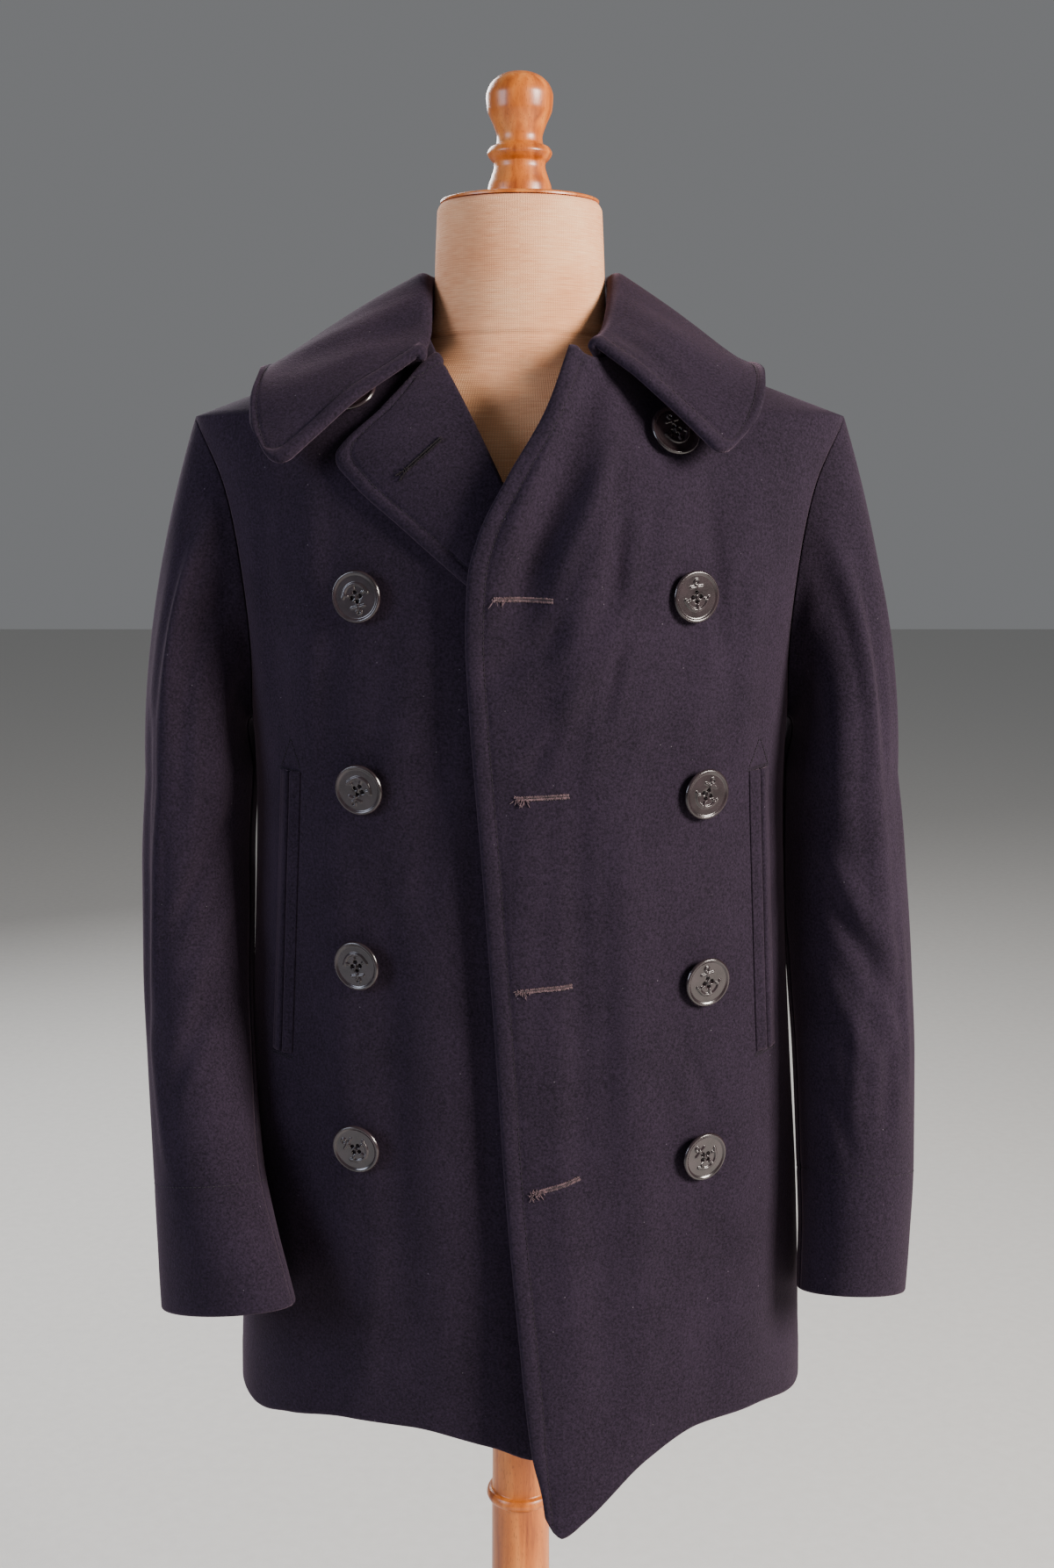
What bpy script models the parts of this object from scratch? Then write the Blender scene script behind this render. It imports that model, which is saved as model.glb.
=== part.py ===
"""A double-breasted wool pea coat on a limbless linen dress form with a turned wooden stand.

Metres, +Z up. The origin is the middle of the stand's underside. The coat faces -Y, and the
wearer's left is +X. Every piece of cloth is a closed wall, worked out from the body's sections.
"""

import math

import bmesh
import bpy
import numpy as np
from mathutils import Matrix, Vector

# ---- driving dimensions -------------------------------------------------------------------

CLOTH = 0.003           # wall of melton wool with its interlining
COLLAR_CLOTH = 0.005    # two layers of melton
SEAM = 0.0004           # half of the gap between two pieces at a seam

HEM_Z = 0.640           # where the level sections start
HEM_BLEND_Z = 0.800     # above this height the sections are level
UNDERARM_Z = 1.145
SHOULDER_Z = 1.357      # shoulder tip, top of the armhole
NECK_Z = 1.411          # shoulder seam at the neck
SHOULDER_HALF = 0.2265
NECK_HALF = 0.0815
ARMHOLE_FRONT = 0.048   # armhole half width, forward of the shoulder seam
ARMHOLE_BACK = 0.064
LAP = 0.012             # how far the left front stands off the right one

BUTTON_SEGMENTS = 18
BUTTON_STANDOFF = 0.0060

CHEST_Z = 1.290
NECK_TOP_Z = 1.500
CAP_R = 0.0565
CAP_TOP_Z = 1.5035

LOWER_ROWS = 10
FRONT_COLUMNS = 11
BACK_COLUMNS = 9
ARMHOLE_STEPS = 12      # rows between the underarm and the shoulder tip
SHOULDER_ROWS = 4

# ---- section tables -----------------------------------------------------------------------

# Coat sections. front and back are depths from the shoulder seam's plane, square is the
# exponent of the outline (2 is an ellipse), stand is how far the unfolded lapel stands out.
#   height, half_width, front, back, square, stand
RINGS = (
    (0.600, 0.2120, 0.158, 0.150, 2.05, 0.022),
    (0.700, 0.2100, 0.151, 0.147, 2.05, 0.012),
    (0.800, 0.2060, 0.145, 0.139, 2.08, 0.004),
    (0.900, 0.1990, 0.140, 0.127, 2.10, 0.000),
    (1.000, 0.1930, 0.137, 0.116, 2.10, 0.000),
    (1.100, 0.1895, 0.138, 0.115, 2.10, 0.000),
    (1.180, 0.1930, 0.139, 0.122, 2.08, 0.001),
    (1.250, 0.2030, 0.134, 0.126, 2.05, 0.005),
    (1.310, 0.2150, 0.119, 0.119, 2.00, 0.016),
    (1.357, 0.2265, 0.092, 0.104, 2.00, 0.034),
    (1.385, 0.2265, 0.071, 0.091, 2.00, 0.044),
    (1.411, 0.2265, 0.052, 0.078, 2.00, 0.056),
)

# Front edge of the left front, from the hem corner to the lapel tip.
#   height, x
LEFT_EDGE = (
    (0.600, 0.0200),
    (0.640, 0.0155),
    (0.671, 0.0080),
    (0.753, -0.0012),
    (0.850, -0.0100),
    (0.939, -0.0157),
    (1.058, -0.0240),
    (1.170, -0.0325),
    (1.213, -0.0345),
    (1.2515, -0.0330),
    (1.279, -0.0261),
    (1.3175, -0.0067),
    (1.356, 0.0156),
    (1.400, 0.0330),
)

# Front edge of the right front: hidden under the left one, then its lapel's roll line.
#   height, x
RIGHT_EDGE = (
    (0.600, 0.105),
    (0.900, 0.095),
    (1.050, 0.084),
    (1.140, 0.072),
    (1.313, -0.0136),
    (1.411, -0.0620),
)

# Top edge of the left front, from its lapel's tip to the shoulder seam.
#   x, height
LEFT_TOP = (
    (0.030, 1.3995),
    (0.036, 1.3990),
    (0.043, 1.3935),
    (0.052, 1.3915),
    (0.064, 1.3965),
    (0.074, 1.4035),
    (0.085, 1.4110),
)

# Hem heights across each panel.
#   x, height
LEFT_HEM = (
    (0.015, 0.632),
    (0.028, 0.6145),
    (0.045, 0.623),
    (0.0885, 0.652),
    (0.126, 0.664),
    (0.168, 0.662),
    (0.212, 0.6455),
)
RIGHT_HEM = (
    (-0.212, 0.6455),
    (-0.196, 0.646),
    (-0.166, 0.657),
    (-0.118, 0.669),
    (-0.074, 0.671),
    (-0.019, 0.661),
    (0.011, 0.652),
    (0.105, 0.672),
)
BACK_HEM = (
    (0.000, 0.646),
    (0.120, 0.644),
    (0.212, 0.6455),
)

# The largest soft folds: a line from (x0, z0) to (x1, z1), half width and depth. A positive
# depth is a ridge. side is +1 for the left panels and -1 for the right ones.
#   face, side, x0, z0, x1, z1, half_width, depth
FOLDS = (
    ("front", 1, 0.045, 1.330, -0.005, 1.215, 0.020, -0.0060),
    ("front", 1, 0.062, 1.325, 0.030, 1.190, 0.018, 0.0050),
    ("front", 1, 0.135, 1.310, 0.080, 1.110, 0.026, -0.0035),
    ("front", 1, 0.050, 1.000, 0.062, 0.680, 0.030, -0.0040),
    ("front", 1, 0.150, 0.900, 0.158, 0.680, 0.028, 0.0045),
    ("front", -1, -0.060, 1.050, -0.045, 0.700, 0.032, 0.0035),
    ("front", -1, -0.150, 0.950, -0.140, 0.690, 0.026, -0.0035),
    ("back", 1, 0.110, 1.000, 0.125, 0.680, 0.030, 0.0050),
    ("back", -1, -0.085, 0.960, -0.105, 0.680, 0.032, 0.0055),
    ("back", -1, -0.150, 1.250, -0.095, 1.120, 0.024, -0.0035),
)

# Sleeve sections below the armhole, wearer's left and right: inner and outer x, front and
# back y, and how far the inner side is turned forward.
#   height, x_in, x_out, y_front, y_back, turn
SLEEVES = {
    "left": (
        (1.110, 0.1935, 0.2680, -0.082, 0.074, 0.000),
        (1.040, 0.1940, 0.2780, -0.080, 0.066, 0.000),
        (0.970, 0.1960, 0.2840, -0.084, 0.054, 0.004),
        (0.900, 0.1985, 0.2870, -0.092, 0.040, 0.006),
        (0.830, 0.2010, 0.2865, -0.100, 0.022, 0.006),
        (0.780, 0.2020, 0.2835, -0.106, 0.005, 0.006),
        (0.733, 0.2010, 0.2800, -0.106, -0.012, 0.006),
    ),
    "right": (
        (1.110, 0.1935, 0.2675, -0.082, 0.074, 0.000),
        (1.040, 0.1935, 0.2715, -0.082, 0.064, 0.000),
        (0.970, 0.1925, 0.2720, -0.090, 0.050, 0.004),
        (0.900, 0.1905, 0.2690, -0.104, 0.028, 0.010),
        (0.840, 0.1820, 0.2630, -0.128, -0.008, 0.016),
        (0.795, 0.1680, 0.2575, -0.146, -0.048, 0.020),
        (0.748, 0.1530, 0.2530, -0.156, -0.076, 0.022),
    ),
}
# How much higher than its side a cuff is at the front, and than its middle on the outer side.
CUFFS = {"left": (0.015, -0.003), "right": (0.010, -0.012)}
SLEEVE_CLEAR = 0.0055   # least space between a sleeve and the coat's side
SLEEVE_SEAMS = (math.radians(170), math.radians(250))
SLEEVE_ARC = {"top": 21, "under": 6}
CAP_RINGS = 4
ARM_RINGS = 9

# Collar, from the centre back to each front end: where its stand is sewn, the top of its
# fold, and its outer edge.
#   stand_x, stand_y, stand_z, fold_x, fold_y, fold_z, edge_x, edge_y, edge_z
COLLAR = {
    "left": (
        (0.000, 0.0790, 1.4080, 0.000, 0.0760, 1.4460, 0.000, 0.1160, 1.3500),
        (0.044, 0.0690, 1.4110, 0.040, 0.0620, 1.4470, 0.078, 0.1070, 1.3560),
        (0.072, 0.0390, 1.4150, 0.0590, 0.0340, 1.4530, 0.132, 0.0700, 1.3740),
        (0.080, 0.0050, 1.4165, 0.0625, 0.000, 1.4520, 0.158, 0.0150, 1.3870),
        (0.077, -0.028, 1.4100, 0.0610, -0.034, 1.4345, 0.162, -0.042, 1.3780),
        (0.067, -0.0590, 1.3985, 0.0560, -0.068, 1.4130, 0.154, -0.090, 1.3530),
        (0.0530, -0.0845, 1.3880, 0.0470, -0.1000, 1.3995, 0.130, -0.124, 1.3270),
    ),
    "right": (
        (0.000, 0.0790, 1.4080, 0.000, 0.0760, 1.4460, 0.000, 0.1160, 1.3500),
        (0.044, 0.0690, 1.4110, 0.040, 0.0620, 1.4470, 0.080, 0.1070, 1.3580),
        (0.072, 0.0390, 1.4150, 0.0590, 0.0340, 1.4530, 0.132, 0.0700, 1.3760),
        (0.080, 0.0050, 1.4165, 0.0625, 0.000, 1.4520, 0.161, 0.0150, 1.3900),
        (0.077, -0.024, 1.4140, 0.0615, -0.030, 1.4365, 0.175, -0.036, 1.3830),
        (0.069, -0.046, 1.4090, 0.0610, -0.052, 1.4140, 0.174, -0.082, 1.3500),
        (0.0665, -0.070, 1.3905, 0.0650, -0.080, 1.3935, 0.157, -0.117, 1.3180),
    ),
}
COLLAR_STATIONS = 13    # along each half
COLLAR_FALL = 6         # steps down the fall
COLLAR_BOW = 0.003      # rise of the fall's middle above a straight line
COLLAR_ROLL = 0.0048    # radius of the fold
COLLAR_CLEAR = 0.0062   # middle of the fall above the coat
COLLAR_FRONT_CLEAR = 0.0150     # and above the buttons at the front ends

# Folded right lapel: a point on the roll line and one on the outer edge for each row.
#   roll_x, roll_z, edge_x, edge_z
LAPEL = (
    (0.0560, 1.172, 0.0440, 1.177),
    (0.0450, 1.192, 0.0160, 1.203),
    (0.0250, 1.232, -0.0140, 1.230),
    (0.0060, 1.270, -0.0460, 1.257),
    (-0.0080, 1.300, -0.0760, 1.283),
    (-0.0210, 1.327, -0.1060, 1.309),
    (-0.0330, 1.351, -0.1190, 1.327),
    (-0.0440, 1.372, -0.0900, 1.357),
    (-0.0560, 1.394, -0.0690, 1.378),
)
LAPEL_COLUMNS = 5
LAPEL_LIFT = 0.0012     # its underside above the front
LAPEL_CLOTH = 0.0040

# Pocket slits, top to bottom: x at the top, x at the bottom.
POCKETS = {"left": (0.163, 0.1725), "right": (-0.155, -0.1655)}
POCKET_TOP_Z = 1.119
POCKET_BOTTOM_Z = 0.920
WELT_WIDTH = 0.0075
WELT_CLOTH = 0.0022

# Buttons: panel they are sewn to, x, height, droop and swing in degrees.
#   name, side, x, z, droop, swing
BUTTONS = (
    ("button_left_1", 1, 0.0990, 1.3420, 4, 0),
    ("button_left_2", 1, 0.1110, 1.2390, 4, -8),
    ("button_left_3", 1, 0.1200, 1.1090, 4, -8),
    ("button_left_4", 1, 0.1230, 0.9800, 7, -9),
    ("button_left_5", 1, 0.1225, 0.8590, 8, -5),
    ("button_right_1", -1, -0.1100, 1.3670, 3, 0),
    ("button_right_2", -1, -0.1030, 1.2390, 5, 2),
    ("button_right_3", -1, -0.1030, 1.1130, 6, 3),
    ("button_right_4", -1, -0.1065, 0.9930, 5, -2),
    ("button_right_5", -1, -0.1085, 0.8660, 9, 4),
)

# Linen bust sections: a general limbless figure.
#   height, half_width, front, back
BUST = (
    (0.800, 0.150, 0.098, 0.104),
    (0.812, 0.163, 0.110, 0.116),
    (0.880, 0.168, 0.114, 0.116),
    (0.960, 0.158, 0.108, 0.096),
    (1.040, 0.150, 0.106, 0.088),
    (1.130, 0.158, 0.114, 0.096),
    (1.220, 0.172, 0.116, 0.108),
    (1.290, 0.184, 0.102, 0.102),
    (1.330, 0.186, 0.086, 0.090),
    (1.352, 0.162, 0.076, 0.080),
    (1.372, 0.120, 0.068, 0.070),
    (1.392, 0.0790, 0.0610, 0.063),
    (1.410, 0.0635, 0.0585, 0.060),
    (1.430, 0.0596, 0.0575, 0.058),
    (1.465, 0.0582, 0.0570, 0.057),
    (1.500, 0.0565, 0.0560, 0.056),
)

# Turned profiles: radius, height.
FINIAL = (
    (0.0000, 1.5870),
    (0.0080, 1.5862),
    (0.0155, 1.5830),
    (0.0210, 1.5770),
    (0.0229, 1.5705),
    (0.0222, 1.5620),
    (0.0180, 1.5520),
    (0.0155, 1.5440),
    (0.0160, 1.5400),
    (0.0205, 1.5370),
    (0.0222, 1.5335),
    (0.0205, 1.5300),
    (0.0178, 1.5270),
    (0.0176, 1.5245),
    (0.0195, 1.5180),
    (0.0216, 1.5120),
    (0.0222, 1.5070),
    (0.0215, 1.5040),
    (0.0000, 1.5040),
)
POST = (
    (0.0000, 0.7995),
    (0.0200, 0.7995),
    (0.0212, 0.7000),
    (0.0220, 0.5440),
    (0.0250, 0.5415),
    (0.0262, 0.5380),
    (0.0250, 0.5345),
    (0.0222, 0.5320),
    (0.0226, 0.4500),
    (0.0240, 0.3000),
    (0.0255, 0.1200),
    (0.0300, 0.1000),
    (0.0330, 0.0850),
    (0.0300, 0.0700),
    (0.0340, 0.0560),
    (0.0440, 0.0460),
    (0.0480, 0.0305),
    (0.0000, 0.0305),
)
BASE = (
    (0.0000, 0.0300),
    (0.1500, 0.0280),
    (0.1780, 0.0240),
    (0.1880, 0.0170),
    (0.1900, 0.0100),
    (0.1880, 0.0030),
    (0.1850, 0.0000),
    (0.0000, 0.0000),
)
BUTTON = (
    (0.0000, 0.0010),
    (0.0112, 0.0010),
    (0.0142, 0.0024),
    (0.0164, 0.0022),
    (0.0172, 0.0008),
    (0.0140, -0.0022),
    (0.0000, -0.0022),
)

# ---- helpers ------------------------------------------------------------------------------


def smooth_curve(table, column, at, key=0):
    """A table's column at a value of its key column, by monotone cubic interpolation."""
    keys = [row[key] for row in table]
    values = [row[column] for row in table]
    at = min(max(at, keys[0]), keys[-1])
    index = max(0, min(len(keys) - 2, int(np.searchsorted(keys, at, side="right")) - 1))
    gaps = np.diff(keys)
    slopes = np.diff(values) / gaps

    def tangent(i):
        if i == 0 or i == len(keys) - 1:
            return slopes[min(i, len(slopes) - 1)]
        before, after = slopes[i - 1], slopes[i]
        if before * after <= 0:
            return 0.0
        return 2 * before * after / (before + after)

    t = (at - keys[index]) / gaps[index]
    return float(
        (2 * t**3 - 3 * t**2 + 1) * values[index]
        + (t**3 - 2 * t**2 + t) * gaps[index] * tangent(index)
        + (3 * t**2 - 2 * t**3) * values[index + 1]
        + (t**3 - t**2) * gaps[index] * tangent(index + 1)
    )


def ease(low, high, value):
    t = min(1.0, max(0.0, (value - low) / (high - low)))
    return t * t * (3 - 2 * t)


def signed_power(value, power):
    return math.copysign(abs(value) ** power, value)


def material(name, color, roughness):
    made = bpy.data.materials.new(name)
    made.use_nodes = True
    shader = made.node_tree.nodes["Principled BSDF"]
    shader.inputs["Base Color"].default_value = (*color, 1)
    shader.inputs["Roughness"].default_value = roughness
    return made


MELTON = material("melton_wool", (0.018, 0.014, 0.022), 0.9)
LINEN = material("linen", (0.72, 0.54, 0.38), 0.85)
WOOD = material("varnished_beech", (0.42, 0.19, 0.07), 0.35)
HORN = material("moulded_button", (0.03, 0.022, 0.028), 0.25)


def add_object(name, vertices, faces, finish):
    mesh = bpy.data.meshes.new(name)
    mesh.from_pydata([tuple(v) for v in vertices], [], faces)
    made = bmesh.new()
    made.from_mesh(mesh)
    bmesh.ops.recalc_face_normals(made, faces=made.faces)
    if made.calc_volume(signed=True) < 0:
        bmesh.ops.reverse_faces(made, faces=made.faces)
    made.to_mesh(mesh)
    made.free()
    mesh.shade_smooth()
    mesh.set_sharp_from_angle(angle=math.radians(40))
    mesh.materials.append(finish)
    placed = bpy.data.objects.new(name, mesh)
    bpy.context.scene.collection.objects.link(placed)
    return placed


def wall(name, outer, inner, finish):
    """A closed wall between two grids of points, joined round their rim."""
    rows, columns = len(outer), len(outer[0])
    vertices = [p for row in outer for p in row] + [p for row in inner for p in row]
    half = rows * columns

    def at(i, j):
        return i * columns + j

    faces = []
    for i in range(rows - 1):
        for j in range(columns - 1):
            quad = (at(i, j), at(i, j + 1), at(i + 1, j + 1), at(i + 1, j))
            faces.append(quad)
            faces.append(tuple(half + k for k in reversed(quad)))
    rim = [at(0, j) for j in range(columns)]
    rim += [at(i, columns - 1) for i in range(1, rows)]
    rim += [at(rows - 1, j) for j in range(columns - 2, -1, -1)]
    rim += [at(i, 0) for i in range(rows - 2, 0, -1)]
    for here, there in zip(rim, rim[1:] + rim[:1]):
        faces.append((there, here, half + here, half + there))
    return add_object(name, vertices, faces, finish)


def turned(name, profile, finish, segments=24, place=None):
    """A solid of revolution from radius and height pairs, top to bottom, both ends on the axis."""
    vertices = [Vector((0, 0, profile[0][1]))]
    for radius, height in profile[1:-1]:
        for k in range(segments):
            angle = 2 * math.pi * k / segments
            vertices.append(Vector((radius * math.cos(angle), radius * math.sin(angle), height)))
    vertices.append(Vector((0, 0, profile[-1][1])))
    faces = []
    rings = len(profile) - 2
    for k in range(segments):
        after = (k + 1) % segments
        faces.append((0, 1 + k, 1 + after))
        for ring in range(rings - 1):
            first = 1 + ring * segments
            faces.append((first + k, first + segments + k, first + segments + after, first + after))
        last = 1 + (rings - 1) * segments
        faces.append((last + k, len(vertices) - 1, last + after))
    if place is not None:
        vertices = [place @ v for v in vertices]
    return add_object(name, vertices, faces, finish)


# ---- the coat's body ----------------------------------------------------------------------


def half_width(z):
    if z <= SHOULDER_Z:
        return smooth_curve(RINGS, 1, z)
    rise = (z - SHOULDER_Z) / (NECK_Z - SHOULDER_Z)
    return SHOULDER_HALF + (NECK_HALF - SHOULDER_HALF) * rise


def depth(face, z):
    return smooth_curve(RINGS, 2 if face == "front" else 3, z)


def squareness(z):
    return smooth_curve(RINGS, 4, z)


def fold_height(face, side, x, z):
    total = 0.0
    for fold_face, fold_side, x0, z0, x1, z1, width, height in FOLDS:
        if fold_face != face or fold_side != side:
            continue
        along = Vector((x1 - x0, z1 - z0))
        from_start = Vector((x - x0, z - z0))
        t = from_start.dot(along) / along.length_squared
        across = abs(along.x * from_start.y - along.y * from_start.x) / along.length / width
        if across < 1 and -0.25 < t < 1.25:
            total += height * (1 - across**2) ** 2 * ease(-0.25, 0.2, t) * (1 - ease(0.8, 1.25, t))
    return total


def body_point(face, side, angle, z):
    """The coat's outer surface. angle is 0 at the centre and 90 degrees at the side seam."""
    power = 2 / squareness(z)
    x = side * half_width(z) * signed_power(math.sin(angle), power)
    y = depth(face, z) * signed_power(math.cos(angle), power)
    folds = fold_height(face, side, x, z)
    if face == "back":
        return Vector((x, y + folds, z))
    y = -y - folds
    if side > 0:
        y -= smooth_curve(RINGS, 5, z) * (1 - ease(0.020, 0.105, x))
        y -= LAP * (1 - ease(0.060, 0.150, x)) * (1 - 0.6 * ease(1.300, 1.360, z))
    return Vector((x, y, z))


def body_normal(face, side, angle, z):
    step = 1e-3
    around = body_point(face, side, angle + step, z) - body_point(face, side, angle - step, z)
    upward = body_point(face, side, angle, z + step) - body_point(face, side, angle, z - step)
    normal = around.cross(upward).normalized()
    outward = Vector((side * math.sin(angle), -math.cos(angle) if face == "front" else math.cos(angle), 0.1))
    return normal if normal.dot(outward) > 0 else -normal


def angle_at_x(x, z):
    """The angle whose section point has this distance from the middle."""
    ratio = min(1.0, abs(x) / half_width(z))
    return math.copysign(math.asin(ratio ** (squareness(z) / 2)), x)


def angle_at_y(face, distance, z):
    """The angle whose section point is this far forward or back of the side seam."""
    ratio = min(1.0, distance / depth(face, z))
    return math.acos(ratio ** (squareness(z) / 2))


def armhole_angle(face, z):
    """Where a panel stops on its outer side: its side seam, armhole or shoulder seam."""
    distance = SEAM
    if UNDERARM_Z < z < SHOULDER_Z:
        middle = (UNDERARM_Z + SHOULDER_Z) / 2
        reach = (SHOULDER_Z - UNDERARM_Z) / 2
        width = ARMHOLE_FRONT if face == "front" else ARMHOLE_BACK
        distance += width * math.sqrt(max(0.0, 1 - ((z - middle) / reach) ** 2))
    return angle_at_y(face, distance, z)


def panel_heights():
    middle = (UNDERARM_Z + SHOULDER_Z) / 2
    reach = (SHOULDER_Z - UNDERARM_Z) / 2
    lower = list(np.linspace(HEM_Z, UNDERARM_Z, LOWER_ROWS, endpoint=False))
    armhole = [middle - reach * math.cos(math.pi * k / ARMHOLE_STEPS) for k in range(ARMHOLE_STEPS)]
    return lower + armhole + list(np.linspace(SHOULDER_Z, NECK_Z, SHOULDER_ROWS + 1))


def settled_height(face, side, z, x, top):
    """Bends the lowest rows down to the hem's line and the highest ones to the panel's top."""
    if z < HEM_BLEND_Z:
        if face == "back":
            hem = smooth_curve(BACK_HEM, 1, abs(x))
        else:
            hem = smooth_curve(LEFT_HEM if side > 0 else RIGHT_HEM, 1, x)
        return HEM_BLEND_Z - (HEM_BLEND_Z - z) * (HEM_BLEND_Z - hem) / (HEM_BLEND_Z - HEM_Z)
    if z > SHOULDER_Z:
        return SHOULDER_Z + (z - SHOULDER_Z) * (top(x) - SHOULDER_Z) / (NECK_Z - SHOULDER_Z)
    return z


def panel(name, face, side, inner_x, top, columns):
    """A front or back: rows up its height, columns from its inner edge to its outer seam."""
    outer, inner = [], []
    for level in panel_heights():
        outer_row, inner_row = [], []
        for k in range(columns + 1):
            z = level
            for _ in range(3):
                start = angle_at_x(side * inner_x(z), z)
                end = armhole_angle(face, level if z > UNDERARM_Z else z)
                angle = start + (end - start) * k / columns
                x = body_point(face, side, angle, z).x
                z = settled_height(face, side, level, x, top)
            place = body_point(face, side, angle, z)
            outer_row.append(place)
            inner_row.append(place - CLOTH * body_normal(face, side, angle, z))
        outer.append(outer_row)
        inner.append(inner_row)
    return wall(name, outer, inner, MELTON)


def outside_body(place, clearance):
    """Moves a point outwards until it is clear of the coat's body."""
    def level(p):
        side = 1 if p.x >= 0 else -1
        face = "front" if p.y < 0 else "back"
        z = min(max(p.z, 0.61), NECK_Z - 0.001)
        power = squareness(z)
        x = p.x / half_width(z)
        forward = -p.y
        if face == "front" and side > 0:
            forward -= smooth_curve(RINGS, 5, z) * (1 - ease(0.020, 0.105, p.x))
            forward -= LAP * (1 - ease(0.060, 0.150, p.x)) * (1 - 0.6 * ease(1.300, 1.360, z))
        y = abs(forward if face == "front" else p.y) / depth(face, z)
        if face == "front" and forward < 0:
            y = 0.0
        return (abs(x) ** power + y**power) ** (1 / power) - 1

    place = place.copy()
    for _ in range(6):
        step = 1e-4
        here = level(place)
        slope = Vector(
            [(level(place + step * axis) - here) / step for axis in (Vector((1, 0, 0)), Vector((0, 1, 0)), Vector((0, 0, 1)))]
        )
        distance = here / max(slope.length, 1e-6)
        if distance >= clearance:
            break
        place += slope.normalized() * (clearance - distance)
    return place


# ---- sleeves ------------------------------------------------------------------------------


def armhole_point(side, turn):
    """A point of the armhole: turn is 0 at the shoulder tip, 90 degrees in front."""
    middle = (UNDERARM_Z + SHOULDER_Z) / 2
    reach = (SHOULDER_Z - UNDERARM_Z) / 2
    z = middle + reach * math.cos(turn)
    face = "front" if math.sin(turn) >= 0 else "back"
    width = ARMHOLE_FRONT if face == "front" else ARMHOLE_BACK
    distance = width * abs(math.sin(turn))
    place = body_point(face, side, angle_at_y(face, distance, z), z)
    return Vector((side * (abs(place.x) + 0.0012), -math.copysign(distance, math.sin(turn)), z))


def arm_point(side, turn, z):
    table = SLEEVES["left" if side > 0 else "right"][::-1]
    x_in, x_out, y_front, y_back, twist = (smooth_curve(table, k, z) for k in range(1, 6))
    x = (x_in + x_out) / 2 + (x_out - x_in) / 2 * math.cos(turn)
    y = (y_front + y_back) / 2 - (y_back - y_front) / 2 * math.sin(turn) + twist * math.cos(turn)
    cuff = 1 - ease(0.0, 0.16, z - table[0][0])
    front_rise, outer_rise = CUFFS["left" if side > 0 else "right"]
    return Vector((side * x, y, z + cuff * (front_rise * math.sin(turn) + outer_rise * math.cos(turn))))


def sleeve_point(side, turn, along):
    """The sleeve's outer surface: along is -1 to 0 over the sleeve head, 0 to 1 down the arm."""
    table = SLEEVES["left" if side > 0 else "right"]
    top, bottom = table[0][0], table[-1][0]
    if along >= 0:
        place = arm_point(side, turn, top + (bottom - top) * along)
        return outside_body(place, SLEEVE_CLEAR)
    start, end = armhole_point(side, turn), outside_body(arm_point(side, turn, top), SLEEVE_CLEAR)
    reach = (end - start).length
    up = math.cos(turn)
    leave = Vector((side * (0.75 - 0.47 * max(0.0, up)), -0.15 * math.sin(turn), -0.5 - 0.35 * up)) * reach
    arrive = Vector((0, 0, -1)) * reach
    t = along + 1
    place = (
        (2 * t**3 - 3 * t**2 + 1) * start
        + (t**3 - 2 * t**2 + t) * leave
        + (3 * t**2 - 2 * t**3) * end
        + (t**3 - t**2) * arrive
    )
    return place


def sleeve_normal(side, turn, along):
    step_turn, step_along = 2e-2, 1e-2
    low, high = max(-1, along - step_along), min(1, along + step_along)
    around = sleeve_point(side, turn + step_turn, along) - sleeve_point(side, turn - step_turn, along)
    down = sleeve_point(side, turn, high) - sleeve_point(side, turn, low)
    normal = around.cross(down).normalized()
    return normal if side < 0 else -normal


def sleeve(side):
    label = "left" if side > 0 else "right"
    alongs = [-1 + k / CAP_RINGS for k in range(CAP_RINGS)] + [k / ARM_RINGS for k in range(ARM_RINGS + 1)]
    gap = math.radians(0.6)
    front, back = SLEEVE_SEAMS
    spans = {"top": (back - 2 * math.pi + gap, front - gap), "under": (front + gap, back - gap)}
    for part, (first, last) in spans.items():
        outer, inner = [], []
        for along in alongs:
            turns = [first + (last - first) * k / SLEEVE_ARC[part] for k in range(SLEEVE_ARC[part] + 1)]
            row = [sleeve_point(side, turn, along) for turn in turns]
            outer.append(row)
            inner.append([p - CLOTH * sleeve_normal(side, turn, along) for p, turn in zip(row, turns)])
        wall(f"sleeve_{part}_{label}", outer, inner, MELTON)


# ---- collar and lapel ---------------------------------------------------------------------


def collar_section(side, station):
    """The middle of the collar's cloth at one station: up the stand, over the fold, down the fall."""
    table = [(k, *row) for k, row in enumerate(COLLAR["left" if side > 0 else "right"])]
    values = [smooth_curve(table, k, station) for k in range(1, 10)]
    stand, fold, edge = (Vector((side * values[k], values[k + 1], values[k + 2])) for k in (0, 3, 6))
    outward = Vector((edge.x - fold.x, edge.y - fold.y, 0)).normalized()
    if station == 0:
        outward = Vector((0, 1, 0))
    roll = COLLAR_ROLL * (1 - 0.55 * ease(3.5, 6, station))
    clear = COLLAR_CLEAR + (COLLAR_FRONT_CLEAR - COLLAR_CLEAR) * ease(3, 5, station)
    up = Vector((0, 0, 1))
    points = [stand, stand.lerp(fold - up * roll, 0.5)]
    fall = edge - fold
    last_turn = math.pi / 2 + math.atan2(-fall.z, math.hypot(fall.x, fall.y))
    for turn in (0, last_turn / 3, 2 * last_turn / 3, last_turn):
        points.append(fold - up * roll + outward * roll * (1 - math.cos(turn)) + up * roll * math.sin(turn))
    start = points[-1]
    for k in range(1, COLLAR_FALL + 1):
        t = k / COLLAR_FALL
        place = start.lerp(edge, t) + up * COLLAR_BOW * math.sin(math.pi * t)
        points.append(outside_body(place, clear))
    return points


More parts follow.
